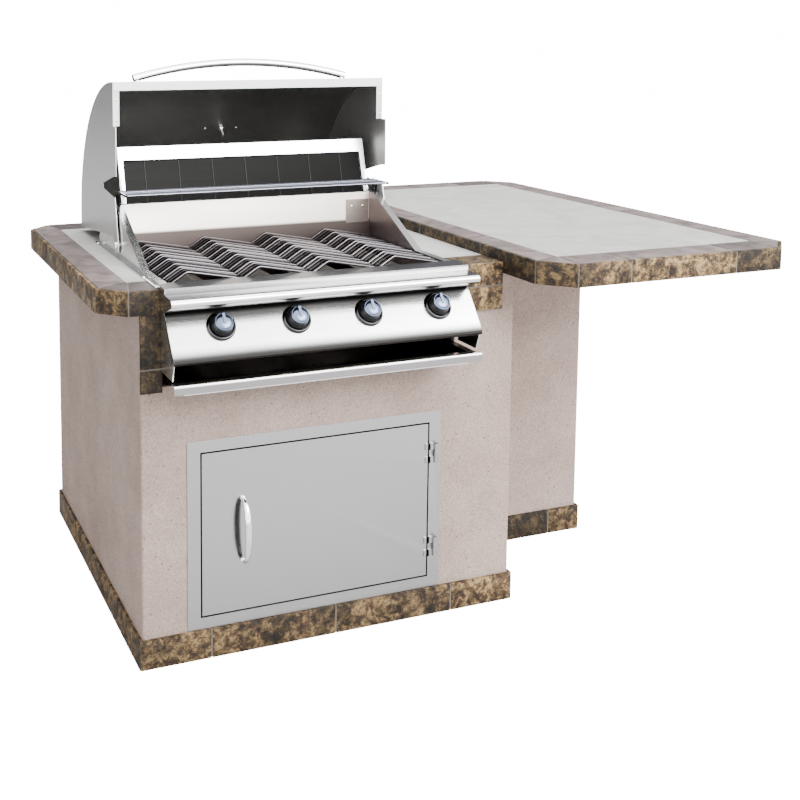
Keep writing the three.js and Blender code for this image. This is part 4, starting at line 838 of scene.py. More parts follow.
def prism(name, plan, low, high, made):
    count = len(plan)
    points = [at(x, y, low) for x, y in plan] + [at(x, y, high) for x, y in plan]
    faces = [tuple(range(count)), tuple(range(count, 2 * count))]
    faces += [(i, (i + 1) % count, (i + 1) % count + count, i + count) for i in range(count)]
    return mesh_of(name, points, faces, [made])


def carve(piece, others, operation="DIFFERENCE"):
    """Cuts the other objects out of the piece, or joins them to it, and removes them."""
    for other in others:
        cut = piece.modifiers.new("cut", "BOOLEAN")
        cut.object = other
        cut.operation = operation
        cut.solver = "EXACT"
        bake(piece)
        bpy.data.objects.remove(other)


def plain(x0, x1, y0, y1, low, high):
    return prism("cutter", rect(x0, x1, y0, y1), low, high, stucco)


# %% Stucco walls
BOARD = 12
SOFT = 7
FOOT = 2
SLAB_UNDER = 48.3
LOW, HIGH = -10, 1000
OVERLAP = 20
THROUGH_FRONT = (-6, 26)
DOOR_LEFT, DOOR_RIGHT, DOOR_LOW, DOOR_HIGH = 157, 777, 106, 518
DOOR_ROOM = 5
GRILL_LOW = 691.7
BODY_SEAM, RISE_SEAM = 860, 880
left, right, front, rear = WALL_FACE, WIDE - WALL_FACE, WALL_FACE, DEEP - WALL_FACE
counter_under, edge_under, bar_under = TOP - SLAB_UNDER, BAR - EDGE_HIGH - CLEAR, BAR - SLAB_UNDER
under_bar = BAR_PLAN[0]
walls = prism("stucco_body", soft_box(left, right, front, rear, SOFT), FOOT, counter_under, stucco)
carve(walls, [
    plain(under_bar, right, front, rear, BODY_SEAM, edge_under),
    plain(under_bar + EDGE_THICK + CLEAR, right, front, rear, RISE_SEAM, bar_under)], "UNION")
carve(walls, [
    plain(left + BOARD, right - BOARD, front + BOARD, rear - BOARD, LOW, HIGH),
    plain(DOOR_LEFT - DOOR_ROOM, DOOR_RIGHT + DOOR_ROOM, *THROUGH_FRONT, DOOR_LOW - DOOR_ROOM,
          DOOR_HIGH + DOOR_ROOM),
    plain(GRILL_LEFT, GRILL_RIGHT, *THROUGH_FRONT, GRILL_LOW, HIGH)])
shade(walls.data, 30)
place_piece(walls, "stucco", "front_wall", "left_wall", "back_wall", "right_wall")

meeting = right + CLEAR
left = meeting - OVERLAP
right, front = PEDESTAL_RIGHT - WALL_FACE, PEDESTAL_FRONT + WALL_FACE
pedestal = prism("stucco_pedestal", soft_box(left, right, front, rear, SOFT), FOOT, bar_under, stucco)
carve(pedestal, [
    plain(left - OVERLAP, meeting, front - OVERLAP, rear + OVERLAP, LOW, HIGH),
    plain(left - OVERLAP, right - BOARD, front + BOARD, rear - BOARD, LOW, HIGH)])
shade(pedestal.data, 30)
place_piece(pedestal, "stucco", "pedestal_shell")

# %% [markdown]
# ## Frames and door
# Tubes, frame and door are bent or welded steel, so rounded edges on the CAD shapes are enough. In the
# photo the gap round the door is a thin black line. A real gap of 2 mm catches light from behind, so both
# steels get a painted shadow along it, a little wider where the hinge arms cross it.

# %% Frames
for name, cad in (("body_tubes", "body_frame"), ("pedestal_tubes", "pedestal_frame")):
    dress(name, cad, "frame_tube", [tube_aluminium], 1.5)

# %% Door
DOOR_GAP = (at(DOOR_LEFT, 0, DOOR_LOW), at(DOOR_RIGHT, 0, DOOR_HIGH))
PLATE_FRONT = 5.4
THIN, WIDER = 0.0021, 0.0042
ARM_START, ARM_FULL, GAP_DEPTH = 0.0003, 0.001, 0.008
plate_y = y_of(PLATE_FRONT)


def painted_gap_shadow(made, low, high):
    """Paints a shadow in the gap round the door, between two corners of its middle line; wider on the hinge
    arms.
    """
    tree, socket, color = base_color(made)
    spot = axes(tree, add(tree, COORD).outputs["Object"])
    off = []
    for axis, a, b in (("X", low.x, high.x), ("Z", low.z, high.z)):
        away = calc(tree, "ABSOLUTE", calc(tree, "SUBTRACT", spot[axis], (a + b) / 2))
        off.append(calc(tree, "SUBTRACT", away, (b - a) / 2))
    off = calc(tree, "ABSOLUTE", calc(tree, "MAXIMUM", *off))
    reach = spread(tree, spot["Y"], THIN, WIDER, plate_y - ARM_START, plate_y - ARM_FULL)
    near = calc(tree, "LESS_THAN", spot["Y"], plate_y + GAP_DEPTH)
    gap = calc(tree, "MULTIPLY", calc(tree, "LESS_THAN", off, reach), near)
    tree.links.new(mix(tree, gap, color, (0.003, 0.003, 0.003, 1)), socket)


# Painted shadow along the door's gap, on the frame's steel and on the door's.
painted_gap_shadow(satin, *DOOR_GAP)
painted_gap_shadow(door_steel, *DOOR_GAP)
dress("door_face_frame", "door_frame", "satin_steel", [satin], 0.6)
dress("door_leaf", "door_panel", "satin_steel", [door_steel], 0.7)
dress("door_pin_low", "door_hinge_pin_1", "satin_steel", [hinge_dark], 0.3)
dress("door_pin_high", "door_hinge_pin_2", "satin_steel", [hinge_dark], 0.3)
dress("door_magnet_catch", "door_catch", "catch_plastic", [black_plastic], 1.0)

# %% [markdown]
# ## The grill body
# The grill is folded sheet of one kind, yet its faces get several colours: a cream back wall and darker
# mauve sides and front inside the cooking chamber, and painted shade below the deck and just above the
# grates. A separate mesh for each colour would break the folds, so one copy of each CAD node gets several
# steels, and a small function picks one for each face by its place and the way it looks.

# %% Firebox
GRILL_MIDDLE = 455.0
CHAMBER_HALF = 373.5
CHAMBER_BACK = 466.0
SHIELD_TOP = 1070.0
FRONT_FOLD, DECK_UNDER = 14.5, 925.0
chamber_middle = at(GRILL_MIDDLE, 0, 0).x


def fire_side(centre, normal):
    """0 outside, 1 on the back wall of the cooking chamber, 2 on its sides and front, 3 below the deck, as
    painted shade.
    """
    if centre.y < y_of(FRONT_FOLD):
        return 3 if centre.z < z_of(DECK_UNDER) else 0
    inside = abs(centre.x - chamber_middle) < CHAMBER_HALF / 1000 and centre.y < y_of(CHAMBER_BACK)
    if not inside or centre.z > z_of(SHIELD_TOP) or normal.z > 0.9 and centre.z > z_of(TOP):
        return 0
    return 1 if normal.y < -0.5 else 2


dress("grill_body", "firebox", "polished_steel", [bright, fire_steel, chamber_side_steel, painted_shade], 0.3,
      fire_side)


# %% Control panel
HEM_FRONT = -104


def fascia_side(centre, normal):
    """1 for what looks down and for the lower hem, as painted shade; 2 for the slanted panel; 3 for the
    flat of the deck, as painted reflection; 0 for the rest.
    """
    if normal.z < -0.5 or centre.z < z_of(HEM_LOW + 1) and centre.y < y_of(HEM_FRONT):
        return 1
    if normal.y < -0.7 and normal.z > 0.5:
        return 2
    return 3 if normal.z > 0.9 else 0


dress("fascia", "control_fascia", "polished_steel", [bright, painted_shade, panel_steel, deck_steel], 0.3,
      fascia_side, segments=1)


# %% Drip tray and its rails
LIP_FRONT, LIP_BACK = -114, -97


def tray_side(centre, normal):
    """1 inside the pan, as painted shade; 2 on the front of its lip; 0 on the lip's top."""
    if centre.y > y_of(LIP_BACK):
        return 1
    return 2 if centre.y < y_of(LIP_FRONT) and normal.y < -0.8 else 0


dress("drip_pan", "drip_tray", "polished_steel", [bright, painted_shade, lip_steel], 0.4, tray_side)
for side in ("left", "right"):
    dress("runner_" + side, "tray_rail_" + side, "satin_steel", [dull], 0.3)

# %% Burners and gas
for k in range(1, 5):
    dress(f"burner_tube_{k}", f"burner_{k}", "burner_steel", [dull], 0.5)
    dress(f"flame_tamer_{k}", f"heat_plate_{k}", "satin_steel", [dull], 0.4)
    dress(f"stem_{k}", f"valve_stem_{k}", "brass_fitting", [brass], 0.3)
dress("manifold", "gas_manifold", "brass_fitting", [brass], 0.5)

# %% [markdown]
# ## The rear baffle
# The baffle behind the warming rack is a nearly black panel in a bright frame; the black is a painted
# reflection of the dark hood above it. Shallow upright creases are pressed into the panel, and their edges
# catch the light. They are too shallow to be worth a mesh, so the material draws them as thin pale lines
# with a little relief: a painted highlight.

# %% Baffle
CREASE_PITCH = 0.098
# The panel's near-black is a painted reflection of the dark hood, and the pale crease lines are a painted
# highlight.
CREASED = (0.006, 0.006, 0.0058)
creased, tree, shader, place = material("creased_steel", CREASED, 1.0, 0.4)
turns = calc(tree, "MULTIPLY", axes(tree, place)["X"], 1 / CREASE_PITCH)
crease = mask(tree, calc(tree, "PINGPONG", turns, 0.5), 0.022, 0.006)
brushed = use(tree, brushed_steel, {"Vector": place})
give(tree, shader.inputs, {
    "Base Color": mix(tree, crease, (*CREASED, 1), (0.022, 0.022, 0.021, 1)),
    "Roughness": spread(tree, brushed["Lines"], 0.3, 0.5)})
relief(tree, shader, crease, -0.001)
LEAN = Vector((0, -0.956, 0.292))
PANEL_PLANE = -0.141


def baffle_side(centre, normal):
    """1 on the sunken front of the leaning panel, 0 on its frame."""
    return 1 if normal.y < -0.5 and (centre - corner).dot(LEAN) < PANEL_PLANE else 0


dress("baffle", "rear_baffle", "polished_steel", [bright, creased], 0.3, baffle_side)


# %% [markdown]
# ## Sweeps and turned parts
# A bow handle is a section carried along a curve while it swells and thins. A knob is a profile
# turned about its axis. Modifiers could do both, but a section that changes on its way is easier
# to follow as a short loop over rings of points.

# %% Sweep and lathe
def sweep(name, rings, materials, angle=35):
    """A skin through closed rings with equal numbers of points, capped at both ends."""
    count = len(rings[0])
    points = [point for ring in rings for point in ring]
    faces = [tuple(range(count)), tuple(range(len(points) - count, len(points)))]
    for k in range(len(rings) - 1):
        for i in range(count):
            after = (i + 1) % count
            faces.append((k * count + i, k * count + after, (k + 1) * count + after, (k + 1) * count + i))
    return mesh_of(name, points, faces, materials, angle)


def oval(centre, u, v, count=24, power=0.85):
    """A ring between an ellipse and a rounded rectangle."""
    ring = []
    for i in range(count):
        angle = 2 * math.pi * i / count
        c, s = math.cos(angle), math.sin(angle)
        ring.append(centre + u * math.copysign(abs(c) ** power, c) + v * math.copysign(abs(s) ** power, s))
    return ring


def lathe(name, profile, turn, materials, slots=(), sides=56):
    """A closed profile of (radius, height) in millimetres, turned about Z and then placed by a matrix."""
    points, faces, marks, rows = [], [], [], []
    for radius, height in profile:
        if radius < 0.01:
            rows.append([len(points)] * sides)
            points.append(turn @ Vector((0, 0, height / 1000)))
            continue
        rows.append(list(range(len(points), len(points) + sides)))
        for i in range(sides):
            angle = 2 * math.pi * i / sides
            flat = Vector((radius * math.cos(angle), radius * math.sin(angle), height)) / 1000
            points.append(turn @ flat)
    for k in range(len(rows) - 1):
        for i in range(sides):
            after = (i + 1) % sides
            ring = [rows[k][i], rows[k][after], rows[k + 1][after], rows[k + 1][i]]
            faces.append(tuple(dict.fromkeys(ring)))
            marks.append(slots[k] if slots else 0)
    piece = mesh_of(name, points, faces, materials)
    for face, mark in zip(piece.data.polygons, marks):
        face.material_index = mark
    return piece


def join(name, pieces):
    """One object from several, each with its materials."""
    with bpy.context.temp_override(active_object=pieces[0], selected_editable_objects=pieces):
        bpy.ops.object.join()
    pieces[0].name = name
    return pieces[0]


# %% [markdown]
# ## The two bow handles
# Both handles are polished bars that rise from two small feet and are thickest in the middle. The
# steel shows the bright room on one side and the dark one on the other. A mirror finish would catch
# too little of that in a plain studio, so the steel's colour changes with the way its surface faces.

# %% Door handle
PULL_X, PULL_MIDDLE, PULL_HALF = 264.0, 312.0, 79.5
PULL_REACH, PULL_THICK, PULL_WIDE = 37.7, 4.5, 8.5
PULL_END_SHARE = 0.45
PULL_STEPS = 40
BEHIND_PLATE = (200, 330, PLATE_FRONT, 40, 100, 500)
handle_steel = steel("handle_steel", (0.80, 0.80, 0.80), 0.12, (60.0, 60.0, 60.0), 0.06)
two_tone(handle_steel, "Normal", "Y", -0.15, 0.25, (0.035, 0.035, 0.037))
rings = []
for i in range(PULL_STEPS + 1):
    angle = -math.pi / 2 + math.pi * i / PULL_STEPS
    swell = PULL_END_SHARE + (1 - PULL_END_SHARE) * math.cos(angle)
    out = PLATE_FRONT - PULL_THICK - PULL_REACH * math.cos(angle)
    centre = at(PULL_X, out, PULL_MIDDLE + PULL_HALF * math.sin(angle))
    thick = Vector((0, math.cos(angle), -math.sin(angle))) * PULL_THICK / 1000
    rings.append(oval(centre, Vector((PULL_WIDE * swell / 1000, 0, 0)), thick))
bow = sweep("bow", rings, [handle_steel])
carve(bow, [plain(*BEHIND_PLATE)])
shade(bow.data)
feet = []
for height in (PULL_MIDDLE - PULL_HALF, PULL_MIDDLE + PULL_HALF):
    base = Matrix.Translation(at(PULL_X, PLATE_FRONT, height)) @ Matrix.Rotation(math.pi / 2, 4, "X")
    foot = [(0, 0), (6.0, 0), (6.0, 1.6), (4.6, 2.6), (4.4, 8.4), (0, 8.4)]
    feet.append(lathe("foot", foot, base, [bright]))
place_piece(join("bow_handle", [bow, *feet]), "polished_steel", "door_handle")

# %% Hood handle
HOOD_AXIS = (440.0, 980.0)
HOOD_RADIUS = 413.0
HANDLE_ANGLE = 78.0
HANDLE_HALF, HANDLE_FOOT, HANDLE_RISE, HANDLE_LOW = 318.0, 308.0, 42.0, 14.0
HANDLE_THICK, HANDLE_TALL = 10.6, 10.0
HANDLE_STEPS = 60


def on_hood(angle, height, x):
    """A place on the hood's skin, or above it."""
    turn = math.radians(angle)
    reach = HOOD_RADIUS + height
    return at(x, HOOD_AXIS[0] + reach * math.cos(turn), HOOD_AXIS[1] + reach * math.sin(turn))


angle = math.radians(HANDLE_ANGLE)
out = Vector((0, math.cos(angle), math.sin(angle)))
along = Vector((0, -math.sin(angle), math.cos(angle)))
rings = []
for i in range(HANDLE_STEPS + 1):
    share = 2 * i / HANDLE_STEPS - 1
    centre = on_hood(HANDLE_ANGLE, HANDLE_LOW + HANDLE_RISE * (1 - share * share),
                     GRILL_MIDDLE + HANDLE_HALF * share)
    slope = -2 * HANDLE_RISE * share / HANDLE_HALF
    normal = (out - Vector((slope, 0, 0))).normalized()
    rings.append(oval(centre, normal * HANDLE_THICK / 1000, along * HANDLE_TALL / 1000))
bow_steel = steel("bow_steel", (0.80, 0.80, 0.80), 0.12, (60.0, 60.0, 60.0), 0.06)
two_tone(bow_steel, "Normal", "Z", 0.55, 0.80, (0.13, 0.13, 0.135))
two_tone(bow_steel, "Normal", "Z", 0.00, -0.20, (0.025, 0.025, 0.027))
bow = sweep("bow", rings, [bow_steel])
upright = out.to_track_quat("Z", "Y").to_matrix().to_4x4()
foot = [(0, 0), (9, 0), (9, 2), (7.4, 3.4), (7.4, 13), (0, 13)]
feet = []
for side in (-1, 1):
    base = Matrix.Translation(on_hood(HANDLE_ANGLE, CLEAR, GRILL_MIDDLE + side * HANDLE_FOOT)) @ upright
    feet.append(lathe("foot", foot, base, [bright]))
place_piece(join("hood_bow_handle", [bow, *feet]), "polished_steel", "hood_handle")

# %% [markdown]
# ## Knobs
# Each knob is a black skirt with a domed silver cap, a thin ring at the cap's rim and a raised
# pointer. It sits in a chrome bezel with a dark recess. All of these are round, so they are turned
# from profiles, upright, and then laid on the tilted panel by the matrix of the stem's axis.

# %% Knob profiles
KNOB_COUNT, KNOB_FIRST, KNOB_PITCH = 4, 183, 190
KNOB_BACK, KNOB_HEIGHT = -68.84, 845.38
on_panel = Matrix.Rotation(math.atan2(96, 73), 4, "X")
knob_profile = [
    (0, 5), (26, 5), (27, 6), (27, 9.4), (26.3, 10.6), (24.2, 13), (22.9, 26.5), (22.3, 28.0),
    (21.0, 29.0), (20.0, 29.0), (19.6, 28.6), (19.0, 29.4), (15, 31.2), (9, 32.4), (0, 33)]
knob_marks = [0] * 7 + [1, 1, 0, 1, 1, 1, 1]
bezel_profile = [
    (29.2, 0.3), (35.6, 0.3), (36, 0.8), (36, 3), (35, 6), (33.2, 7.7), (31.4, 8), (30.2, 7.4),
    (29.6, 5.5), (29.2, 0.3)]
recess_profile = [(0, 0.2), (29.4, 0.2), (29.4, 0.9), (8, 0.9), (7, 0.5), (0, 0.5)]
pointer_levels = ((24, 2.5), (34.2, 2.5), (35, 3.2))
pointer_ends = (-6.5, 19.5)

# %% Knobs and bezels
for k in range(1, KNOB_COUNT + 1):
    spot = Matrix.Translation(at(KNOB_FIRST + KNOB_PITCH * (k - 1), KNOB_BACK, KNOB_HEIGHT)) @ on_panel
    place_piece(lathe(f"bezel_{k}", bezel_profile, spot, [bezel_chrome]), "chrome_trim", f"knob_bezel_{k}")
    place_piece(lathe(f"recess_{k}", recess_profile, spot, [black_plastic]), "knob_plastic", body="island")
    cap = lathe("cap", knob_profile, spot, [black_plastic, knob_silver], knob_marks)
    rings = [[spot @ (Vector((x, y, height)) / 1000) for x, y in rect(-half, half, *pointer_ends)]
             for height, half in pointer_levels]
    pointer = sweep("pointer", rings, [knob_silver], 20)
    place_piece(join(f"knob_cap_{k}", [cap, pointer]), "knob_plastic", f"knob_{k}")

# %% [markdown]
# ## Rods in rows
# The grates and the warming rack are one bent rod repeated at an even pitch. Copies could be laid
# by a loop, but a geometry node group keeps the pitch and the thickness as plain inputs. It takes
# the rod's path, rounds its bends, gives it thickness and sets it out in a row. Each rod gets its
# own tone, because heat and grease darken some more than others.

# %% Group: rods in rows
rod_row, given, result = new_group(
    "rod_row",
    [("Path", GEOMETRY, None), ("Bend Radius", FLOAT, 0.008), ("Rod Radius", FLOAT, 0.004),
     ("Count", "NodeSocketInt", 2), ("Step", VEC, (0.0, 0.02, 0.0)), ("Steel", "NodeSocketMaterial", None)],
    [("Rods", GEOMETRY)], "GeometryNodeTree")
tree = rod_row
curve = add(tree, "GeometryNodeMeshToCurve", {"Mesh": given["Path"]}).outputs[0]
bends = {"Curve": curve, "Count": 5, "Radius": given["Bend Radius"], "Limit Radius": True}
curve = add(tree, "GeometryNodeFilletCurve", bends, mode="POLY").outputs[0]
section = add(tree, "GeometryNodeCurvePrimitiveCircle", {"Resolution": 12, "Radius": given["Rod Radius"]})
skin = {"Curve": curve, "Profile Curve": section.outputs[0], "Fill Caps": True}
rod = add(tree, "GeometryNodeCurveToMesh", skin).outputs[0]
row = add(tree, "GeometryNodeMeshLine", {"Count": given["Count"], "Offset": given["Step"]}, mode="OFFSET")
number = add(tree, "GeometryNodeInputIndex").outputs[0]
tone = calc(tree, "FRACT", calc(tree, "MULTIPLY_ADD", number, 0.382, 0.764))
toned = {"Geometry": row.outputs[0], "Name": "tone", "Value": tone}
row = add(tree, "GeometryNodeStoreNamedAttribute", toned, data_type="FLOAT", domain="POINT")
copies = add(tree, "GeometryNodeInstanceOnPoints", {"Points": row.outputs[0], "Instance": rod}).outputs[0]


def as_mesh(tree, copies, steel_socket):
    """Copies made real and given their steel, because the export drops instances."""
    whole = add(tree, "GeometryNodeRealizeInstances", {"Geometry": copies}).outputs[0]
    return add(tree, "GeometryNodeSetMaterial", {"Geometry": whole, "Material": steel_socket}).outputs[0]


give(tree, result, {"Rods": as_mesh(tree, copies, given["Steel"])})


# %% Helpers for node groups on pieces
def grown(name, mesh, group, values, angle):
    """An object whose node group has been run and turned into its plain mesh."""
    piece = new_object(name, mesh)
    maker = piece.modifiers.new(name, "NODES")
    maker.node_group = group
    for socket in group.interface.items_tree:
        if socket.name in values:
            maker[socket.identifier] = values[socket.name]
    bake(piece)
    shade(piece.data, angle)
    return piece


def rods(name, path, bend, radius, count, pitch, made):
    """Rods along a path of places, in a row from front to back; sizes in millimetres."""
    mesh = bpy.data.meshes.new(name)
    mesh.from_pydata([tuple(point) for point in path], [(i, i + 1) for i in range(len(path) - 1)], [])
    values = {"Bend Radius": bend / 1000, "Rod Radius": radius / 1000, "Count": count,
              "Step": (0, pitch / 1000, 0), "Steel": made}
    return grown(name, mesh, rod_row, values, 50)


# %% Cooking grates
GRATE_PITCH, GRATE_GAP = 183, 4
GRATE_RODS, ROD_FRONT, ROW_LONG = 22, 26.2, 428.6
ROD_BEND, ROD_RADIUS = 14, 2.7
CREST, TROUGH, CREST_SHARE = 958, 932, 0.23
RAIL_FRONT, RAIL_REAR, RAIL_LOW, RAIL_HALF, RAIL_INSET = 22, 459, 924, 2, 4
LEFT_RAIL_TOP, RAIL_ROUND, RAIL_STEPS = 934.5, 1.5, 2
grate_wide = GRATE_PITCH - GRATE_GAP
grate_steel = steel("grate_steel", (0.26, 0.25, 0.27), 0.34, (120.0, 120.0, 120.0), 0.02, depth=0.000003)
# Painted shade and highlight: the rods turn nearly black below their tops, so only the tops stay bright.
two_tone(grate_steel, "Normal", "Z", 0.82, 0.62, (0.010, 0.008, 0.008))
uneven(grate_steel, 0.10, 1.9)
for k in range(1, 5):
    left = GRILL_MIDDLE + (k - 3) * GRATE_PITCH + GRATE_GAP / 2
    path = [at(left, ROD_FRONT, TROUGH), at(left + grate_wide * CREST_SHARE, ROD_FRONT, CREST),
            at(left + grate_wide, ROD_FRONT, TROUGH)]
    pitch = ROW_LONG / (GRATE_RODS - 1)
    pieces = [rods(f"waves_{k}", path, ROD_BEND, ROD_RADIUS, GRATE_RODS, pitch, grate_steel)]
    for middle, top in ((left + RAIL_INSET, LEFT_RAIL_TOP), (left + grate_wide - RAIL_INSET, TROUGH)):
        plan = soft_box(middle - RAIL_HALF, middle + RAIL_HALF, RAIL_FRONT, RAIL_REAR,
                        RAIL_ROUND, RAIL_STEPS)
        pieces.append(prism("rail", plan, RAIL_LOW, top, grate_steel))
    place_piece(join(f"grate_{k}_rods", pieces), "grate_steel", f"cooking_grate_{k}")

# %% Warming rack
RACK_LEVEL, RACK_FRONT, RACK_REAR = 1096.0, 369.5, 461.5
RACK_LEFT, RACK_RIGHT = 73, 837
RACK_WIRES, WIRE_RADIUS, FRAME_RADIUS = 5, 2.5, 3.5
LEG_TOP, LEG_FOOT, LEG_LOW, POST_LOW = 438.5, 443.5, 1061, 1060.6
across = [at(x, RACK_FRONT, RACK_LEVEL) for x in (RACK_LEFT, RACK_RIGHT)]
pitch = (RACK_REAR - RACK_FRONT) / (RACK_WIRES - 1)
pieces = [rods("rack_wires", across, 0, WIRE_RADIUS, RACK_WIRES, pitch, wire_chrome)]
for x in (RACK_LEFT, RACK_RIGHT):
    frame_ends = [(RACK_FRONT - FRAME_RADIUS, RACK_LEVEL), (RACK_REAR + FRAME_RADIUS, RACK_LEVEL)]
    leg_ends = [(LEG_TOP, RACK_LEVEL), (LEG_FOOT, LEG_LOW)]
    post_ends = [(RACK_REAR, POST_LOW), (RACK_REAR, RACK_LEVEL)]
    for ends in (frame_ends, leg_ends, post_ends):
        path = [at(x, y, z) for y, z in ends]
        pieces.append(rods("rack_leg", path, 0, FRAME_RADIUS, 1, 0, wire_chrome))
place_piece(join("rack_rods", pieces), "chrome_wire", "warming_rack")

# %% [markdown]
# ## The hood
# The hood is a rolled skin between two plates. Its outside is bright, and its inside gets a darker steel as
# painted shade. Painting the shade on by place would need a picture, so each face is given its steel by the
# side it looks to: away from the hood's axis, or towards it.

# %% Hood skin and sides
hood_middle = at(GRILL_MIDDLE, *HOOD_AXIS)


def hood_face(centre, normal):
    """1 inside the rolled skin, 0 outside it and on its ends."""
    if abs(normal.x) > 0.5:
        return 0
    outward = Vector((0, centre.y - hood_middle.y, centre.z - hood_middle.z))
    return 1 if outward.dot(normal) < 0 else 0


def inner_side(way):
    """1 on the face of a side plate that looks along x in a way, 0 elsewhere."""
    return lambda centre, normal: 1 if normal.x * way > 0.7 else 0


dress("hood_shell", "hood_skin", "polished_steel", [bright, hood_inside], 0.3, hood_face, segments=1)
dress("hood_plate_left", "hood_side_left", "satin_steel", [side_steel, hood_inside], 0.4, inner_side(1))
dress("hood_plate_right", "hood_side_right", "satin_steel", [side_steel, plate_inside], 0.4, inner_side(-1))

# %% [markdown]
# ## The thermometer
# A dial thermometer sits in the skin, with its stem and nut inside the hood. Its case, stem and hub
# are turned, and the marks and the hand are thin blocks, because a printed face would need a picture.

# %% Thermometer
GAUGE_ANGLE, GAUGE_X = 38, 471
MARK_COUNT, MARK_FIRST, MARK_STEP = 11, 225, 27
MARK_IN, MARK_OUT, MARK_HALF, LONG_MARK_HALF = 18, 23, 0.55, 0.9
MARK_LEVELS, HAND_LEVELS = (10.1, 10.45), (10.5, 10.9)
HAND_TURN = 118
hand_plan = [(-1.2, -5), (1.2, -5), (0.5, 20), (-0.5, 20)]
spot = Matrix.Translation(on_hood(GAUGE_ANGLE, 0, GAUGE_X)) @ Matrix.Rotation(
    math.radians(GAUGE_ANGLE - 90), 4, "X")
case_profile = [
    (0, 0.6), (29.4, 0.6), (30, 1.2), (30, 9.6), (29.2, 11.2), (27.6, 12), (26.4, 11.6),
    (26, 10.2), (0, 10.2)]
stem_profile = [(0, -36), (3.2, -35.4), (4, -34), (4, 0.8), (0, 0.8)]
nut_profile = [(4.0, -8.6), (8.4, -8.6), (9, -8.0), (9, -3.2), (8.4, -2.6), (4.0, -2.6), (4.0, -8.6)]
hub_profile = [(0, 10.2), (2.4, 10.2), (2.4, 11.3), (1.6, 11.7), (0, 11.7)]


def on_dial(name, plan, levels, turn):
    """A thin black block over a plan in millimetres on the dial."""
    rings = [[turn @ (Vector((x, y, z)) / 1000) for x, y in plan] for z in levels]
    return sweep(name, rings, [black_plastic])


pieces = [
    lathe("case", case_profile, spot, [trim_chrome, dial_white], [0] * 7 + [1]),
    lathe("stem", stem_profile, spot, [trim_chrome]),
    lathe("nut", nut_profile, spot, [bright], sides=6),
    lathe("hub", hub_profile, spot, [trim_chrome], sides=20)]
for i in range(MARK_COUNT):
    turn = spot @ Matrix.Rotation(math.radians(MARK_FIRST - MARK_STEP * i), 4, "Z")
    half = MARK_HALF if i % 5 else LONG_MARK_HALF
    pieces.append(on_dial("mark", rect(MARK_IN, MARK_OUT, -half, half), MARK_LEVELS, turn))
turn = spot @ Matrix.Rotation(math.radians(HAND_TURN), 4, "Z")
pieces.append(on_dial("hand", hand_plan, HAND_LEVELS, turn))
place_piece(join("thermometer", pieces), "chrome_trim", "hood_thermometer")

# %% [markdown]
# ## Screws
# Small pan-head screws hold the grill's flange, the hood's flanges and a cover plate. One head is
# turned, then a node group sets it on points that each carry the way it faces. Turning every head
# by itself would work too, but the points say more plainly where the screws are.

# %% Group: screws on points
HEAD_PROFILE = [(0, -0.4), (3.2, -0.4), (3.4, 0.4), (2.9, 1.3), (1.7, 1.8), (0.9, 1.9), (0, 1.2)]
head = lathe("screw_head", HEAD_PROFILE, Matrix.Identity(4), [bright], sides=14)
screw_set, given, result = new_group(
    "screw_set",
    [("Points", GEOMETRY, None), ("Head", "NodeSocketObject", None), ("Steel", "NodeSocketMaterial", None)],
    [("Screws", GEOMETRY)], "GeometryNodeTree")
tree = screw_set
named = {"Name": "facing"}
facing = add(tree, "GeometryNodeInputNamedAttribute", named, data_type="FLOAT_VECTOR").outputs[0]
turned = add(tree, "FunctionNodeAlignRotationToVector", {"Vector": facing}, axis="Z").outputs[0]
source = add(tree, "GeometryNodeObjectInfo", {"Object": given["Head"]}).outputs["Geometry"]
copies = add(tree, "GeometryNodeInstanceOnPoints",
             {"Points": given["Points"], "Instance": source, "Rotation": turned}).outputs[0]
give(tree, result, {"Screws": as_mesh(tree, copies, given["Steel"])})


def screws(name, spots, body):
    """Screw heads at (place, direction) spots."""
    mesh = bpy.data.meshes.new(name)
    mesh.from_pydata([tuple(place) for place, _ in spots], [], [])
    ways = mesh.attributes.new("facing", "FLOAT_VECTOR", "POINT")
    for item, (_, way) in zip(ways.data, spots):
        item.vector = way
    piece = grown(name, mesh, screw_set, {"Head": head, "Steel": bright}, 40)
    return place_piece(piece, "polished_steel", body=body)


# %% Screws and the cover plate
UP, FORWARD = (0, 0, 1), (0, -1, 0)
COVER_LEFT, COVER_RIGHT, COVER_LOW, COVER_HIGH = 752, 825, 972, 1040
COVER_FRONT, COVER_BACK, COVER_SCREWS = 463.4, 464.8, (806, 770)
FLANGE_TOP, FLANGE_ACROSS, FLANGE_BACK = 930.3, (54.5, 855.5), (27, 135, 622)
HOOD_ACROSS, HOOD_UP, GAUGE_ACROSS = (66, 844), (1290, 1345), (-50, 50)
cover_steel = steel("cover_steel", (0.42, 0.37, 0.33), 0.3)
cover_plan = rect(COVER_LEFT, COVER_RIGHT, COVER_FRONT, COVER_BACK)
cover = prism("cover_plate", cover_plan, COVER_LOW, COVER_HIGH, cover_steel)
place_piece(cover, "polished_steel", body="island")
flange = [(at(x, y, FLANGE_TOP), UP) for x in FLANGE_ACROSS for y in FLANGE_BACK]
flange += [(at(x, COVER_FRONT, COVER_HIGH - 20), FORWARD) for x in COVER_SCREWS]
screws("flange_screws", flange, "island")

angle = math.radians(GAUGE_ANGLE)
inward = -Vector((0, math.cos(angle), math.sin(angle)))
on_skin = [(at(x, HOOD_AXIS[0], z), FORWARD) for x in HOOD_ACROSS for z in HOOD_UP]
on_skin += [(on_hood(GAUGE_ANGLE, -2, GAUGE_X + across), inward) for across in GAUGE_ACROSS]
screws("hood_screws", on_skin, "hood")
bpy.data.objects.remove(head)

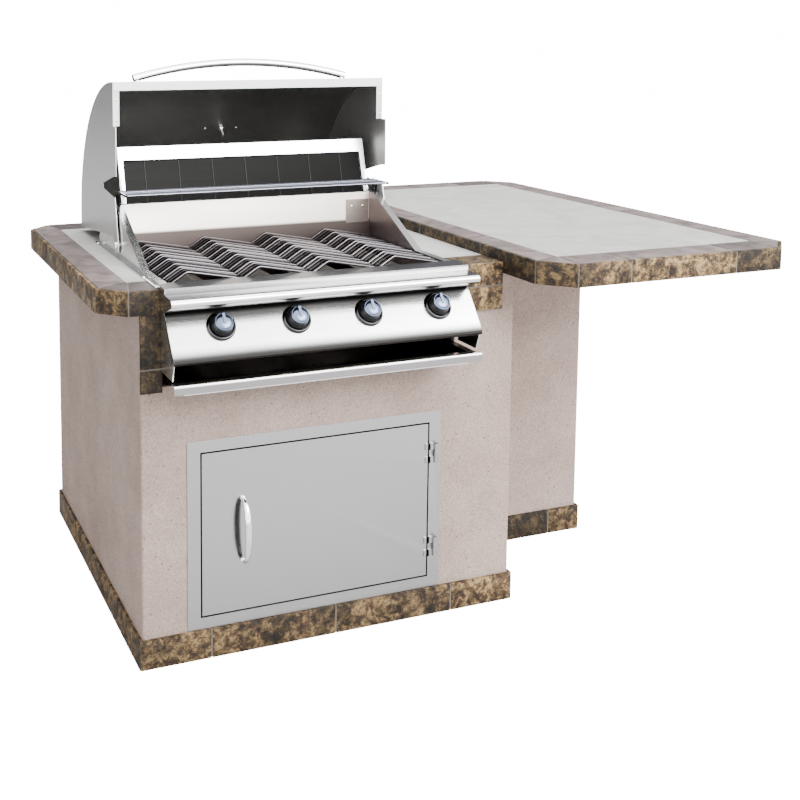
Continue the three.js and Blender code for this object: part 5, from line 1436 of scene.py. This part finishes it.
# %% [markdown]
# ## Light
# The photo is lit like a product shot: pure white surround, a broad high light from the front right, and a
# darker left side. Steel shows what stands round it, so reflected rays see a studio with its white sheets
# in front and overhead and a dim back wall. Other rays see a softer version of it, and the camera sees
# plain white. Real sheets of light would do the same, but would also stand in the way when the island is
# seen from other sides.

# %% World
WHITE = (16.0, 16.0, 16.0, 1)
world = bpy.data.worlds.new("studio")
world.use_nodes = True
bpy.context.scene.world = world
tree = world.node_tree
ray = add(tree, COORD).outputs["Generated"]


def towards(way, low, high):
    """How far a ray points a way: 0 below the low cosine, 1 above the high one."""
    cosine = add(tree, VECTOR, {0: ray, 1: way}, operation="DOT_PRODUCT").outputs["Value"]
    return mask(tree, cosine, low, high, interpolation_type="SMOOTHSTEP")


soft = mix(tree, towards((0.55, -0.55, 0.63), -0.5, 0.9), (0.25, 0.25, 0.27, 1), (2.0, 2.0, 2.0, 1))
sheets = mix(tree, towards((0.15, -0.85, 0.5), -0.35, 0.30), (0.30, 0.30, 0.31, 1), (5.4, 5.4, 5.4, 1))
passage = add(tree, "ShaderNodeLightPath").outputs
around = mix(tree, passage["Is Glossy Ray"], soft, sheets)
give(tree, tree.nodes["Background"].inputs, {"Color": mix(tree, passage["Is Camera Ray"], around, WHITE)})
print("world:", world.name, len(tree.nodes), "nodes")


# %% Lights
def area_light(name, place, target, size, power):
    data = bpy.data.lights.new(name, "AREA")
    data.shape = "RECTANGLE"
    data.size, data.size_y = size
    data.energy = power
    made = bpy.data.objects.new(name, data)
    bpy.context.scene.collection.objects.link(made)
    made.location = place
    aim = Vector(target) - Vector(place)
    made.rotation_euler = aim.to_track_quat("-Z", "Y").to_euler()
    print("light:", name, power, "W")


area_light("key", (1.6, -3.6, 3.2), (0, 0, 0.5), (3.0, 2.2), 370)
area_light("top", (-0.2, 0.2, 3.8), (0, 0, 0.6), (3.0, 2.4), 170)

# %% [markdown]
# ## The floor
# The photo has no floor at all, only white. A floor that glows white for the camera alone matches it
# and still throws its light back on the island. Inside the body it doesn't glow, or it would show
# through the open door.

# %% Floor
FLOOR_HALF = 14
FLOOR_DROP = 0.0005
DARK_HALF = (509.5, 487)
floor_mesh = bpy.data.meshes.new("floor")
floor_plan = rect(-FLOOR_HALF, FLOOR_HALF, -FLOOR_HALF, FLOOR_HALF)
floor_mesh.from_pydata([(x, y, 0) for x, y in floor_plan], [], [(0, 1, 2, 3)])
floor = new_object("floor", floor_mesh)
pale, tree, shader, place = material("pale_floor", (0.55, 0.55, 0.55), 0, 0.9)
spot = axes(tree, place)
middle = at(WIDE / 2, DEEP / 2, 0)
inside = calc(tree, "MULTIPLY",
              calc(tree, "COMPARE", spot["X"], middle.x, DARK_HALF[0] / 1000),
              calc(tree, "COMPARE", spot["Y"], middle.y, DARK_HALF[1] / 1000))
seen = add(tree, "ShaderNodeLightPath").outputs["Is Camera Ray"]
glow = calc(tree, "MULTIPLY", calc(tree, "GREATER_THAN", seen, inside), WHITE[0])
shader.inputs["Emission Color"].default_value = (1, 1, 1, 1)
give(tree, shader.inputs, {"Emission Strength": glow})
floor_mesh.materials.append(pale)
floor.location.z = -FLOOR_DROP
floor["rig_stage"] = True
print("floor:", 2 * FLOOR_HALF, "m square")

# %% [markdown]
# ## Measure
# The size of all the finished pieces together is printed; they are meant to stay inside the box of the CAD,
# so that the part keeps its real size.

# %% Size
low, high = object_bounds()
print("scene size in metres:", [round(v, 4) for v in high - low])
